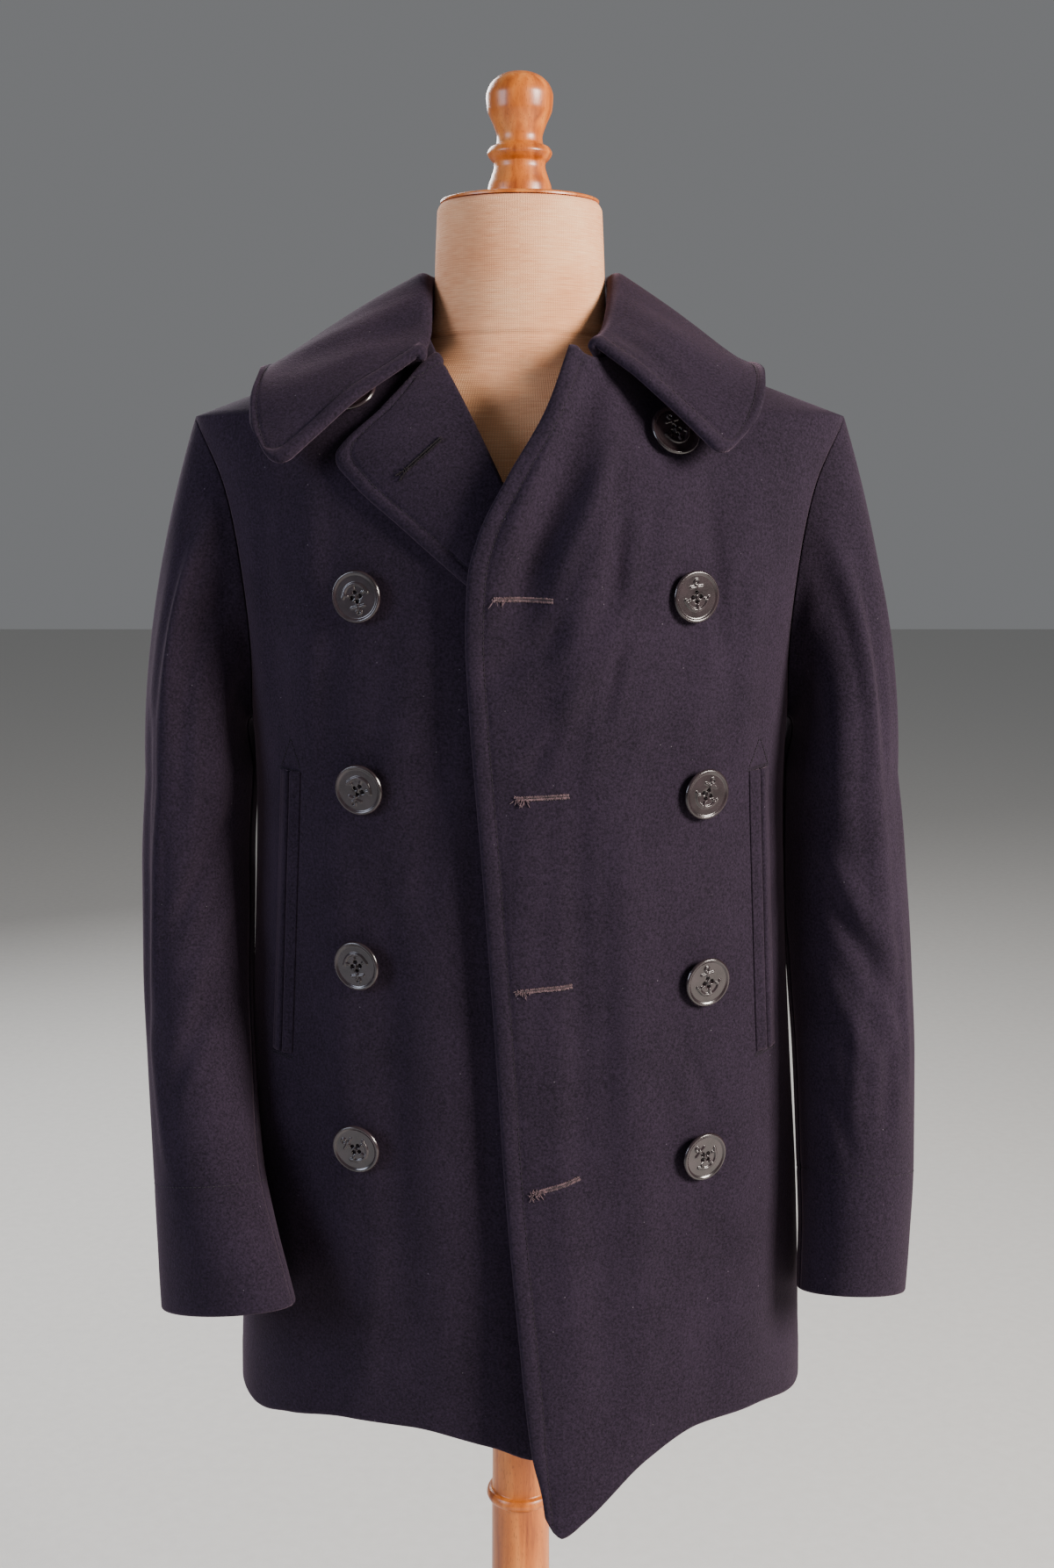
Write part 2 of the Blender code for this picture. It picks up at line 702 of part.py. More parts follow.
def thickened(grid, thickness):
    """Two grids on either side of a middle grid."""
    rows, columns = len(grid), len(grid[0])
    front, back = [], []
    for i in range(rows):
        front_row, back_row = [], []
        for j in range(columns):
            down = grid[min(i + 1, rows - 1)][j] - grid[max(i - 1, 0)][j]
            across = grid[i][min(j + 1, columns - 1)] - grid[i][max(j - 1, 0)]
            normal = down.cross(across).normalized() * (thickness / 2)
            front_row.append(grid[i][j] + normal)
            back_row.append(grid[i][j] - normal)
        front.append(front_row)
        back.append(back_row)
    return front, back


def collar():
    last = len(COLLAR["left"]) - 1
    stations = [last * k / COLLAR_STATIONS for k in range(COLLAR_STATIONS + 1)]
    grid = [collar_section(-1, station) for station in reversed(stations)]
    grid += [collar_section(1, station) for station in stations[1:]]
    front, back = thickened(grid, COLLAR_CLOTH)
    wall("collar", front, back, MELTON)


def on_front(side, x, z, lift):
    angle = side * angle_at_x(x, z)
    return body_point("front", side, angle, z) + lift * body_normal("front", side, angle, z)


def lapel():
    outer, inner = [], []
    for roll_x, roll_z, edge_x, edge_z in LAPEL:
        outer_row, inner_row = [], []
        for k in range(LAPEL_COLUMNS + 1):
            t = k / LAPEL_COLUMNS
            x, z = roll_x + (edge_x - roll_x) * t, roll_z + (edge_z - roll_z) * t
            lift = LAPEL_LIFT + 0.002 * math.sin(math.pi * t)
            inner_row.append(on_front(-1, x, z, lift))
            outer_row.append(on_front(-1, x, z, lift + LAPEL_CLOTH))
        outer.append(outer_row)
        inner.append(inner_row)
    wall("lapel_right", outer, inner, MELTON)


# ---- pockets and buttons ------------------------------------------------------------------


def welts(side):
    label = "left" if side > 0 else "right"
    top_x, bottom_x = POCKETS[label]
    steps = 8
    for part, low, high in (("front", 0.0004, WELT_WIDTH), ("back", -WELT_WIDTH, -0.0004)):
        outer, inner = [], []
        for k in range(steps + 1):
            t = k / steps
            z = POCKET_TOP_Z + (POCKET_BOTTOM_Z - POCKET_TOP_Z) * t
            middle = top_x + (bottom_x - top_x) * t
            xs = [middle - side * (low + (high - low) * s) for s in (0, 0.5, 1)]
            inner.append([on_front(side, x, z, 0.0006) for x in xs])
            outer.append([on_front(side, x, z, 0.0006 + WELT_CLOTH * h) for x, h in zip(xs, (0.7, 1, 0.4))])
        wall(f"welt_{part}_{label}", outer, inner, MELTON)


def buttons():
    for name, side, x, z, droop, swing in BUTTONS:
        angle = side * angle_at_x(x, z)
        normal = body_normal("front", side, angle, z)
        place = body_point("front", side, angle, z) + normal * BUTTON_STANDOFF
        facing = normal.to_track_quat("Z", "Y").to_matrix().to_4x4()
        tilt = Matrix.Rotation(math.radians(droop), 4, "X") @ Matrix.Rotation(math.radians(swing), 4, "Z")
        lean = Matrix.Translation(place) @ tilt @ facing
        turned(name, BUTTON, HORN, BUTTON_SEGMENTS, lean)


# ---- dress form ---------------------------------------------------------------------------


def bust():
    segments = 28
    vertices, faces = [], []
    heights = np.concatenate([np.linspace(BUST[0][0], CHEST_Z, 12), np.linspace(CHEST_Z, NECK_TOP_Z, 14)[1:]])
    for z in heights:
        width, front, back = (smooth_curve(BUST, k, z) for k in (1, 2, 3))
        for k in range(segments):
            angle = 2 * math.pi * k / segments
            y = -math.cos(angle)
            vertices.append(Vector((width * math.sin(angle), y * (front if y < 0 else back), z)))
    for ring in range(len(heights) - 1):
        for k in range(segments):
            after = (k + 1) % segments
            low, high = ring * segments, (ring + 1) * segments
            faces.append((low + k, low + after, high + after, high + k))
    faces.append(tuple(reversed(range(segments))))
    top = (len(heights) - 1) * segments
    faces.append(tuple(range(top, top + segments)))
    add_object("bust", vertices, faces, LINEN)


def neck_cap():
    low = NECK_TOP_Z + 2 * SEAM
    profile = (
        (0.0, CAP_TOP_Z),
        (CAP_R - 0.004, CAP_TOP_Z),
        (CAP_R - 0.002, CAP_TOP_Z - 0.0012),
        (CAP_R - 0.002, low),
        (0.0, low),
    )
    turned("neck_cap", profile, WOOD, 28)


# ---- assembly -----------------------------------------------------------------------------


def left_top(x):
    return smooth_curve(LEFT_TOP, 1, x)


def back_top(x):
    return 1.404 + (NECK_Z - 1.404) * ease(0.030, 0.080, abs(x))


def main():
    panel("front_left", "front", 1, lambda z: smooth_curve(LEFT_EDGE, 1, z), left_top, FRONT_COLUMNS + 1)
    panel("front_right", "front", -1, lambda z: smooth_curve(RIGHT_EDGE, 1, z), lambda x: NECK_Z, FRONT_COLUMNS + 1)
    panel("back_left", "back", 1, lambda z: SEAM, back_top, BACK_COLUMNS)
    panel("back_right", "back", -1, lambda z: -SEAM, back_top, BACK_COLUMNS)
    lapel()
    collar()
    for side in (1, -1):
        sleeve(side)
        welts(side)
    buttons()
    bust()
    neck_cap()
    turned("finial", FINIAL, WOOD, 28)
    turned("post", POST, WOOD, 28)
    turned("base", BASE, WOOD, 40)


for old in list(bpy.data.objects):
    bpy.data.objects.remove(old, do_unlink=True)
main()
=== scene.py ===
"""The looks of a double-breasted wool pea coat on a linen dress form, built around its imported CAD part.

Metres, +Z up. The coat faces -Y and the wearer's left is +X. Each cloth is a thin closed shell
on the form that its CAD solid has, with its creases, turned edges and stitching added.
"""

import math

import bpy
import numpy as np
from mathutils import Matrix, Vector


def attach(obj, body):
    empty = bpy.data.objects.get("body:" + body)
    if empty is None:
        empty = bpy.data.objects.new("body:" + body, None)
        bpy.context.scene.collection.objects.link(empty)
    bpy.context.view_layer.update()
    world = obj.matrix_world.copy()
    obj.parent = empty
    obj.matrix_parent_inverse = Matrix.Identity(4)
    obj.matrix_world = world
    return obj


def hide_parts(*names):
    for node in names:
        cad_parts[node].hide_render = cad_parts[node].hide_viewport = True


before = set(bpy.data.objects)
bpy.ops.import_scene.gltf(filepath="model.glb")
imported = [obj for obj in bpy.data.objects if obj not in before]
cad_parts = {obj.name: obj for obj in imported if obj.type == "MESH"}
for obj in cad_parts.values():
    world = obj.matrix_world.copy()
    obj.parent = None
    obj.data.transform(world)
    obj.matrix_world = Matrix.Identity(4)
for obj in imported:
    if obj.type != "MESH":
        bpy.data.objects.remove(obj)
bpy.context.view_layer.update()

# ---- driving dimensions -------------------------------------------------------------------

CLOTH = 0.0032          # melton with its interlining
COLLAR_CLOTH = 0.0052   # two layers of melton
LAPEL_CLOTH = 0.0042
WELT_CLOTH = 0.0024
SEAM = 0.00002          # half of the gap between two pieces at a seam
SEAM_ROUND = 0.0022     # width over which a seamed side turns in
SEAM_SHALLOW = 0.45     # 0 would turn it in fully, 1 not at all
PRESSED = 0.35          # added to that along the centre-back seam, which is pressed flat
EDGE_ROUND = 0.0026     # radius of a turned free edge

HEM_Z = 0.640           # where the level sections start
HEM_BLEND_Z = 0.800     # above this height the sections are level
HEM_TURN = 0.038        # depth of the turned-up hem
UNDERARM_Z = 1.145
SHOULDER_Z = 1.357
NECK_Z = 1.411
SHOULDER_HALF = 0.2265
NECK_HALF = 0.0815
ARMHOLE = {"front": 0.048, "back": 0.064}
LAP = 0.012             # how far the left front stands off the right one

STITCH_IN = 0.0118      # from a faced edge to its topstitching
STITCH_PITCH = 0.0034
STITCH_R = 0.00026
CUFF_STITCH = 0.088     # above the cuff's edge

BUTTON_STANDOFF = 0.0060
BUTTON_R = 0.0172
HOLE_R = 0.00130
HOLE_OUT = 0.0030       # from a button's middle to each hole's

NECK_TOP_Z = 1.500
NECK_SEAM_Z = 1.4095
CAP_R = 0.0565
CAP_TOP_Z = 1.5035

# ---- section tables -----------------------------------------------------------------------

#   height, half_width, front, back, square, stand
RINGS = (
    (0.600, 0.2120, 0.158, 0.150, 2.05, 0.022),
    (0.700, 0.2100, 0.151, 0.147, 2.05, 0.012),
    (0.800, 0.2060, 0.145, 0.139, 2.08, 0.004),
    (0.900, 0.1990, 0.140, 0.127, 2.10, 0.000),
    (1.000, 0.1930, 0.137, 0.116, 2.10, 0.000),
    (1.100, 0.1895, 0.138, 0.115, 2.10, 0.000),
    (1.180, 0.1930, 0.139, 0.122, 2.08, 0.001),
    (1.250, 0.2030, 0.134, 0.126, 2.05, 0.005),
    (1.310, 0.2150, 0.119, 0.119, 2.00, 0.016),
    (1.357, 0.2265, 0.092, 0.104, 2.00, 0.034),
    (1.385, 0.2265, 0.071, 0.091, 2.00, 0.044),
    (1.411, 0.2265, 0.052, 0.078, 2.00, 0.056),
)

#   height, x
LEFT_EDGE = (
    (0.600, 0.0200),
    (0.640, 0.0155),
    (0.671, 0.0080),
    (0.753, -0.0012),
    (0.850, -0.0100),
    (0.939, -0.0157),
    (1.058, -0.0240),
    (1.170, -0.0325),
    (1.213, -0.0345),
    (1.2515, -0.0330),
    (1.279, -0.0261),
    (1.3175, -0.0067),
    (1.356, 0.0156),
    (1.400, 0.0330),
)
RIGHT_EDGE = (
    (0.600, 0.105),
    (0.900, 0.095),
    (1.050, 0.084),
    (1.140, 0.072),
    (1.313, -0.0136),
    (1.411, -0.0620),
)

#   x, height
LEFT_TOP = (
    (0.030, 1.3995),
    (0.036, 1.3990),
    (0.043, 1.3935),
    (0.052, 1.3915),
    (0.064, 1.3965),
    (0.074, 1.4035),
    (0.085, 1.4110),
)
LEFT_HEM = (
    (0.015, 0.632),
    (0.028, 0.6145),
    (0.045, 0.623),
    (0.0885, 0.652),
    (0.126, 0.664),
    (0.168, 0.662),
    (0.212, 0.6455),
)
RIGHT_HEM = (
    (-0.212, 0.6455),
    (-0.196, 0.646),
    (-0.166, 0.657),
    (-0.118, 0.669),
    (-0.074, 0.671),
    (-0.019, 0.661),
    (0.011, 0.652),
    (0.105, 0.672),
)
BACK_HEM = (
    (0.000, 0.646),
    (0.120, 0.644),
    (0.212, 0.6455),
)

# The largest soft folds, which the CAD part has too. A positive depth is a ridge.
#   x0, z0, x1, z1, half_width, depth
FOLDS = {
    ("front", 1): (
        (0.045, 1.330, -0.005, 1.215, 0.020, -0.0060),
        (0.062, 1.325, 0.030, 1.190, 0.018, 0.0050),
        (0.135, 1.310, 0.080, 1.110, 0.026, -0.0035),
        (0.050, 1.000, 0.062, 0.680, 0.030, -0.0040),
        (0.150, 0.900, 0.158, 0.680, 0.028, 0.0045),
    ),
    ("front", -1): (
        (-0.060, 1.050, -0.045, 0.700, 0.032, 0.0035),
        (-0.150, 0.950, -0.140, 0.690, 0.026, -0.0035),
    ),
    ("back", 1): ((0.110, 1.000, 0.125, 0.680, 0.030, 0.0050),),
    ("back", -1): (
        (-0.085, 0.960, -0.105, 0.680, 0.032, 0.0055),
        (-0.150, 1.250, -0.095, 1.120, 0.024, -0.0035),
    ),
}

# Smaller creases on each panel, in the same columns.
CREASES = {
    ("front", 1): (
        (0.048, 1.372, 0.000, 1.250, 0.015, -0.0067),
        (0.033, 1.371, -0.009, 1.273, 0.010, 0.0023),
        (0.058, 1.336, 0.0225, 1.249, 0.011, 0.0052),
        (0.063, 1.328, 0.062, 1.243, 0.010, -0.0036),
        (0.084, 1.320, 0.066, 1.232, 0.013, 0.0017),
        (0.100, 1.318, 0.090, 1.245, 0.014, 0.0022),
        (0.124, 1.308, 0.1345, 1.197, 0.010, -0.0026),
        (0.158, 1.250, 0.150, 1.120, 0.013, 0.0023),
        (0.031, 1.220, -0.018, 1.191, 0.012, -0.0043),
        (0.060, 1.220, 0.017, 1.145, 0.014, 0.0036),
        (0.065, 1.205, 0.055, 1.157, 0.007, -0.0023),
        (0.088, 1.222, 0.060, 1.126, 0.013, -0.0023),
        (0.026, 1.163, 0.008, 1.128, 0.010, -0.0029),
        (0.006, 1.105, -0.002, 0.950, 0.016, 0.0016),
        (0.038, 1.105, 0.040, 0.860, 0.012, -0.0018),
        (0.069, 1.090, 0.072, 0.880, 0.016, 0.0018),
        (0.098, 1.060, 0.104, 0.790, 0.016, -0.0013),
        (0.108, 0.947, 0.131, 0.888, 0.009, -0.0020),
        (0.030, 0.850, 0.046, 0.700, 0.015, 0.0013),
        (0.135, 0.800, 0.165, 0.750, 0.016, -0.0025),
        (0.184, 0.900, 0.190, 0.700, 0.014, -0.0018),
    ),
    ("front", -1): (
        (-0.135, 1.310, -0.145, 1.150, 0.016, 0.0025),
        (-0.172, 1.300, -0.164, 1.160, 0.012, -0.0020),
        (-0.118, 1.240, -0.128, 1.120, 0.014, -0.0014),
        (-0.060, 1.235, -0.088, 1.090, 0.020, 0.0020),
        (-0.046, 1.170, -0.064, 1.030, 0.015, -0.0018),
        (-0.124, 1.060, -0.118, 0.880, 0.016, 0.0014),
        (-0.090, 1.010, -0.084, 0.800, 0.017, -0.0016),
        (-0.028, 1.080, -0.020, 0.820, 0.014, -0.0016),
        (-0.022, 0.820, -0.012, 0.700, 0.014, 0.0014),
        (-0.176, 0.900, -0.182, 0.720, 0.014, 0.0018),
        (-0.100, 0.790, -0.108, 0.690, 0.015, 0.0014),
    ),
    ("back", 1): (
        (0.042, 1.300, 0.060, 1.160, 0.020, 0.0018),
        (0.130, 1.300, 0.104, 1.170, 0.018, -0.0022),
        (0.160, 1.250, 0.150, 1.150, 0.014, 0.0020),
        (0.064, 1.120, 0.052, 0.900, 0.018, -0.0018),
        (0.150, 1.030, 0.162, 0.860, 0.016, -0.0020),
        (0.022, 0.960, 0.030, 0.740, 0.016, 0.0020),
        (0.084, 0.880, 0.092, 0.690, 0.015, -0.0022),
        (0.168, 0.840, 0.172, 0.700, 0.014, 0.0020),
    ),
    ("back", -1): (
        (-0.050, 1.320, -0.038, 1.190, 0.018, -0.0016),
        (-0.118, 1.290, -0.100, 1.190, 0.016, 0.0022),
        (-0.170, 1.220, -0.160, 1.140, 0.014, 0.0018),
        (-0.036, 1.100, -0.044, 0.930, 0.016, 0.0018),
        (-0.120, 1.060, -0.134, 0.880, 0.018, -0.0020),
        (-0.058, 0.900, -0.054, 0.720, 0.015, -0.0020),
        (-0.142, 0.820, -0.150, 0.690, 0.014, 0.0022),
        (-0.178, 0.900, -0.184, 0.760, 0.013, -0.0016),
    ),
}

#   height, x_in, x_out, y_front, y_back, turn
SLEEVES = {
    "left": (
        (1.110, 0.1890, 0.2680, -0.082, 0.074, 0.000),
        (1.040, 0.1890, 0.2780, -0.080, 0.066, 0.000),
        (0.970, 0.1935, 0.2840, -0.084, 0.054, 0.004),
        (0.900, 0.1985, 0.2870, -0.092, 0.040, 0.006),
        (0.830, 0.2010, 0.2865, -0.100, 0.022, 0.006),
        (0.780, 0.2020, 0.2835, -0.106, 0.005, 0.006),
        (0.733, 0.2010, 0.2800, -0.106, -0.012, 0.006),
    ),
    "right": (
        (1.110, 0.1895, 0.2675, -0.082, 0.074, 0.000),
        (1.040, 0.1935, 0.2715, -0.082, 0.064, 0.000),
        (0.970, 0.1935, 0.2720, -0.090, 0.050, 0.004),
        (0.900, 0.1895, 0.2690, -0.104, 0.028, 0.010),
        (0.840, 0.1820, 0.2630, -0.128, -0.008, 0.016),
        (0.795, 0.1680, 0.2575, -0.146, -0.048, 0.020),
        (0.748, 0.1530, 0.2530, -0.156, -0.076, 0.022),
    ),
}
# How much higher than its side a cuff is at the front, and than its middle on the outer side.
CUFFS = {"left": (0.015, -0.003), "right": (0.010, -0.012)}
SLEEVE_CLEAR = 0.0008
SLEEVE_SEAMS = (math.radians(170), math.radians(250))
ARM_GIRTH_R = 0.055     # turns a sleeve's angle into a distance round it

# Sleeve creases: angle round the sleeve in degrees (90 in front, 0 on its outer side) and
# height, of each end. A positive depth is a ridge.
#   turn0, z0, turn1, z1, half_width, depth
SLEEVE_CREASES = {
    "right": (
        (62, 1.310, 66, 1.130, 0.011, 0.0030),
        (92, 1.270, 88, 1.090, 0.014, -0.0028),
        (28, 1.260, 34, 1.080, 0.014, -0.0012),
        (118, 1.250, 124, 1.060, 0.014, 0.0022),
        (66, 1.120, 58, 0.960, 0.010, 0.0026),
        (44, 1.060, 40, 0.930, 0.010, -0.0020),
        (59, 1.271, 75, 1.141, 0.009, 0.0024),
        (42, 1.150, 40, 1.060, 0.012, -0.0022),
        (132, 1.080, 84, 1.010, 0.012, -0.0030),
        (136, 1.020, 96, 0.962, 0.013, 0.0024),
        (120, 0.960, 72, 0.900, 0.014, -0.0026),
        (50, 0.930, 62, 0.850, 0.013, 0.0018),
        (262, 1.240, 270, 1.090, 0.014, -0.0028),
        (300, 1.200, 306, 1.040, 0.013, 0.0024),
        (330, 1.120, 322, 0.960, 0.012, -0.0020),
        (250, 1.040, 296, 0.985, 0.015, -0.0030),
        (256, 0.970, 306, 0.930, 0.014, 0.0024),
        (282, 0.900, 288, 0.800, 0.014, -0.0018),
    ),
    "left": (
        (104, 1.310, 106, 1.080, 0.020, 0.0034),
        (50, 1.270, 58, 1.130, 0.014, -0.0026),
        (72, 1.240, 66, 0.900, 0.016, 0.0026),
        (80, 1.280, 78, 1.120, 0.012, -0.0016),
        (24, 1.240, 28, 1.060, 0.012, 0.0020),
        (118, 1.060, 62, 0.985, 0.014, 0.0030),
        (112, 1.020, 56, 0.945, 0.013, -0.0034),
        (126, 0.975, 80, 0.905, 0.014, 0.0022),
        (49, 1.005, 46, 0.895, 0.010, 0.0020),
        (70, 0.925, 72, 0.870, 0.012, -0.0030),
        (99, 0.952, 104, 0.882, 0.010, 0.0020),
        (130, 0.900, 108, 0.850, 0.012, -0.0018),
        (258, 1.260, 266, 1.120, 0.014, -0.0024),
        (290, 1.230, 298, 1.080, 0.014, 0.0026),
        (322, 1.150, 330, 1.000, 0.012, -0.0022),
        (252, 1.060, 300, 1.000, 0.014, 0.0028),
        (250, 1.010, 304, 0.955, 0.014, -0.0032),
        (276, 0.900, 282, 0.800, 0.015, 0.0018),
    ),
}

#   stand_x, stand_y, stand_z, fold_x, fold_y, fold_z, edge_x, edge_y, edge_z
COLLAR = {
    "left": (
        (0.000, 0.0790, 1.4080, 0.000, 0.0760, 1.4460, 0.000, 0.1160, 1.3500),
        (0.044, 0.0690, 1.4110, 0.040, 0.0620, 1.4470, 0.078, 0.1070, 1.3560),
        (0.072, 0.0390, 1.4150, 0.0590, 0.0340, 1.4530, 0.132, 0.0700, 1.3740),
        (0.080, 0.0050, 1.4165, 0.0625, 0.000, 1.4520, 0.158, 0.0150, 1.3870),
        (0.077, -0.028, 1.4100, 0.0610, -0.034, 1.4345, 0.162, -0.042, 1.3780),
        (0.067, -0.0590, 1.3985, 0.0560, -0.068, 1.4130, 0.154, -0.090, 1.3530),
        (0.0530, -0.0845, 1.3880, 0.0470, -0.1000, 1.3995, 0.130, -0.124, 1.3270),
    ),
    "right": (
        (0.000, 0.0790, 1.4080, 0.000, 0.0760, 1.4460, 0.000, 0.1160, 1.3500),
        (0.044, 0.0690, 1.4110, 0.040, 0.0620, 1.4470, 0.080, 0.1070, 1.3580),
        (0.072, 0.0390, 1.4150, 0.0590, 0.0340, 1.4530, 0.132, 0.0700, 1.3760),
        (0.080, 0.0050, 1.4165, 0.0625, 0.000, 1.4520, 0.161, 0.0150, 1.3900),
        (0.077, -0.024, 1.4140, 0.0615, -0.030, 1.4365, 0.175, -0.036, 1.3830),
        (0.069, -0.046, 1.4090, 0.0610, -0.052, 1.4140, 0.174, -0.082, 1.3500),
        (0.0665, -0.070, 1.3905, 0.0650, -0.080, 1.3935, 0.157, -0.117, 1.3180),
    ),
}
COLLAR_BOW = 0.003
COLLAR_ROLL = 0.0048
COLLAR_CLEAR = 0.0062
COLLAR_SINK = 0.03      # how much less clear of the body its fold is allowed to be
COLLAR_FRONT_CLEAR = 0.0150
COLLAR_TIP = {"left": (0.30, 0.09), "right": (0.42, 0.13)}     # corner: stations, share of the fall
COLLAR_STATION = 0.036  # one station's length along the outer edge
COLLAR_DEPTH = 0.105    # of the fall

# Collar creases: station (from the centre back, + to the wearer's left) and share of the fall.
#   station0, share0, station1, share1, half_width, depth
COLLAR_CREASES = (
    (-4.9, 0.10, -4.4, 0.80, 0.016, -0.0014),
    (-3.4, 0.15, -3.2, 0.90, 0.020, 0.0012),
    (-1.6, 0.20, -1.8, 0.85, 0.018, -0.0012),
    (0.5, 0.15, 0.4, 0.85, 0.020, 0.0012),
    (2.3, 0.20, 2.5, 0.90, 0.018, -0.0012),
    (4.3, 0.15, 4.7, 0.70, 0.016, 0.0014),
    (5.2, 0.05, 5.5, 0.55, 0.012, -0.0014),
)

#   roll_x, roll_z, edge_x, edge_z
LAPEL = (
    (0.0560, 1.172, 0.0440, 1.177),
    (0.0450, 1.192, 0.0160, 1.203),
    (0.0250, 1.232, -0.0140, 1.230),
    (0.0060, 1.270, -0.0460, 1.257),
    (-0.0080, 1.300, -0.0760, 1.283),
    (-0.0210, 1.327, -0.1060, 1.309),
    (-0.0330, 1.351, -0.1190, 1.327),
    (-0.0440, 1.372, -0.0900, 1.357),
    (-0.0560, 1.394, -0.0690, 1.378),
)
LAPEL_LIFT = 0.0012
LAPEL_ROLL = 0.0030     # radius of the fold

POCKETS = {"left": (0.163, 0.1725), "right": (-0.155, -0.1655)}
POCKET_TOP_Z = 1.119
POCKET_BOTTOM_Z = 0.920
WELT_WIDTH = 0.0075
ARROW = 0.022           # height of the stitched arrowhead above a pocket
BAR = 0.0085            # half length of its bar

#   name, side, x, z, droop, swing, spin in degrees
BUTTONS = (
    ("button_left_1", 1, 0.0990, 1.3420, 4, 0, 14),
    ("button_left_2", 1, 0.1110, 1.2390, 4, -8, 4),
    ("button_left_3", 1, 0.1200, 1.1090, 4, -8, -24),
    ("button_left_4", 1, 0.1230, 0.9800, 7, -9, 8),
    ("button_left_5", 1, 0.1225, 0.8590, 8, -5, 42),
    ("button_right_1", -1, -0.1100, 1.3670, 3, 0, 30),
    ("button_right_2", -1, -0.1030, 1.2390, 5, 2, 196),
    ("button_right_3", -1, -0.1030, 1.1130, 6, 3, 160),
    ("button_right_4", -1, -0.1065, 0.9930, 5, -2, 192),
    ("button_right_5", -1, -0.1085, 0.8660, 9, 4, 60),
)

# Worked buttonholes on the left front: both ends of each slit, and how frayed its first end is.
#   x0, z0, x1, z1, fray
BUTTONHOLES = (
    (-0.0165, 1.2395, 0.0215, 1.2385, 0.35),
    (-0.0030, 1.1115, 0.0320, 1.1130, 0.55),
    (-0.0025, 0.9830, 0.0345, 0.9855, 0.80),
    (0.0065, 0.8450, 0.0400, 0.8545, 1.00),
)
LAPEL_HOLE = (-0.0765, 1.3125, -0.0490, 1.3365)

#   height, half_width, front, back
BUST = (
    (0.800, 0.150, 0.098, 0.104),
    (0.812, 0.163, 0.110, 0.116),
    (0.880, 0.168, 0.114, 0.116),
    (0.960, 0.158, 0.108, 0.096),
    (1.040, 0.150, 0.106, 0.088),
    (1.130, 0.158, 0.114, 0.096),
    (1.220, 0.172, 0.116, 0.108),
    (1.290, 0.184, 0.102, 0.102),
    (1.330, 0.186, 0.086, 0.090),
    (1.352, 0.162, 0.076, 0.080),
    (1.372, 0.120, 0.068, 0.070),
    (1.392, 0.0790, 0.0610, 0.063),
    (1.410, 0.0635, 0.0585, 0.060),
    (1.430, 0.0596, 0.0575, 0.058),
    (1.465, 0.0582, 0.0570, 0.057),
    (1.500, 0.0565, 0.0560, 0.056),
)

# Turned profiles: radius, height.
FINIAL = (
    (0.0000, 1.5870),
    (0.0080, 1.5862),
    (0.0155, 1.5830),
    (0.0210, 1.5770),
    (0.0229, 1.5705),
    (0.0222, 1.5620),
    (0.0180, 1.5520),
    (0.0155, 1.5440),
    (0.0160, 1.5400),
    (0.0205, 1.5370),
    (0.0222, 1.5335),
    (0.0205, 1.5300),
    (0.0178, 1.5270),
    (0.0176, 1.5245),
    (0.0195, 1.5180),
    (0.0216, 1.5120),
    (0.0222, 1.5070),
    (0.0215, 1.5040),
    (0.0000, 1.5040),
)
POST = (
    (0.0000, 0.7995),
    (0.0200, 0.7995),
    (0.0212, 0.7000),
    (0.0220, 0.5440),
    (0.0250, 0.5415),
    (0.0262, 0.5380),
    (0.0250, 0.5345),
    (0.0222, 0.5320),
    (0.0226, 0.4500),
    (0.0240, 0.3000),
    (0.0255, 0.1200),
    (0.0300, 0.1000),
    (0.0330, 0.0850),
    (0.0300, 0.0700),
    (0.0340, 0.0560),
    (0.0440, 0.0460),
    (0.0480, 0.0305),
    (0.0000, 0.0305),
)
BASE = (
    (0.0000, 0.0300),
    (0.1500, 0.0280),
    (0.1780, 0.0240),
    (0.1880, 0.0170),
    (0.1900, 0.0100),
    (0.1880, 0.0030),
    (0.1850, 0.0000),
    (0.0000, 0.0000),
)

# ---- numbers ------------------------------------------------------------------------------


def curve(table, column, at, key=0):
    """A table's column at values of its key column, by monotone cubic interpolation."""
    keys = np.array([row[key] for row in table], float)
    values = np.array([row[column] for row in table], float)
    at = np.clip(at, keys[0], keys[-1])
    gaps = np.diff(keys)
    slopes = np.diff(values) / gaps
    tangents = np.zeros(len(keys))
    tangents[0], tangents[-1] = slopes[0], slopes[-1]
    before, after = slopes[:-1], slopes[1:]
    same_way = before * after > 0
    tangents[1:-1][same_way] = (2 * before * after)[same_way] / (before + after)[same_way]
    i = np.clip(np.searchsorted(keys, at, side="right") - 1, 0, len(keys) - 2)
    t = (at - keys[i]) / gaps[i]
    return (
        (2 * t**3 - 3 * t**2 + 1) * values[i]
        + (t**3 - 2 * t**2 + t) * gaps[i] * tangents[i]
        + (3 * t**2 - 2 * t**3) * values[i + 1]
        + (t**3 - t**2) * gaps[i] * tangents[i + 1]
    )


def ease(low, high, value):
    t = np.clip((value - low) / (high - low), 0, 1)
    return t * t * (3 - 2 * t)


def signed_power(value, power):
    return np.sign(value) * np.abs(value) ** power


def unit(vectors):
    return vectors / np.maximum(np.linalg.norm(vectors, axis=-1, keepdims=True), 1e-12)


def crease_height(table, u, v):
    """What a table of soft troughs and ridges adds at points (u, v) of a cloth, in metres."""
    total = np.zeros(np.broadcast(u, v).shape)
    for u0, v0, u1, v1, half_width, depth in table:
        length = math.hypot(u1 - u0, v1 - v0)
        t = ((u - u0) * (u1 - u0) + (v - v0) * (v1 - v0)) / length**2
        across = ((u - u0) * (v1 - v0) - (v - v0) * (u1 - u0)) / length / half_width
        profile = np.clip(1 - across**2, 0, None) ** 2
        total += depth * profile * ease(-0.25, 0.2, t) * (1 - ease(0.8, 1.25, t))
    return total


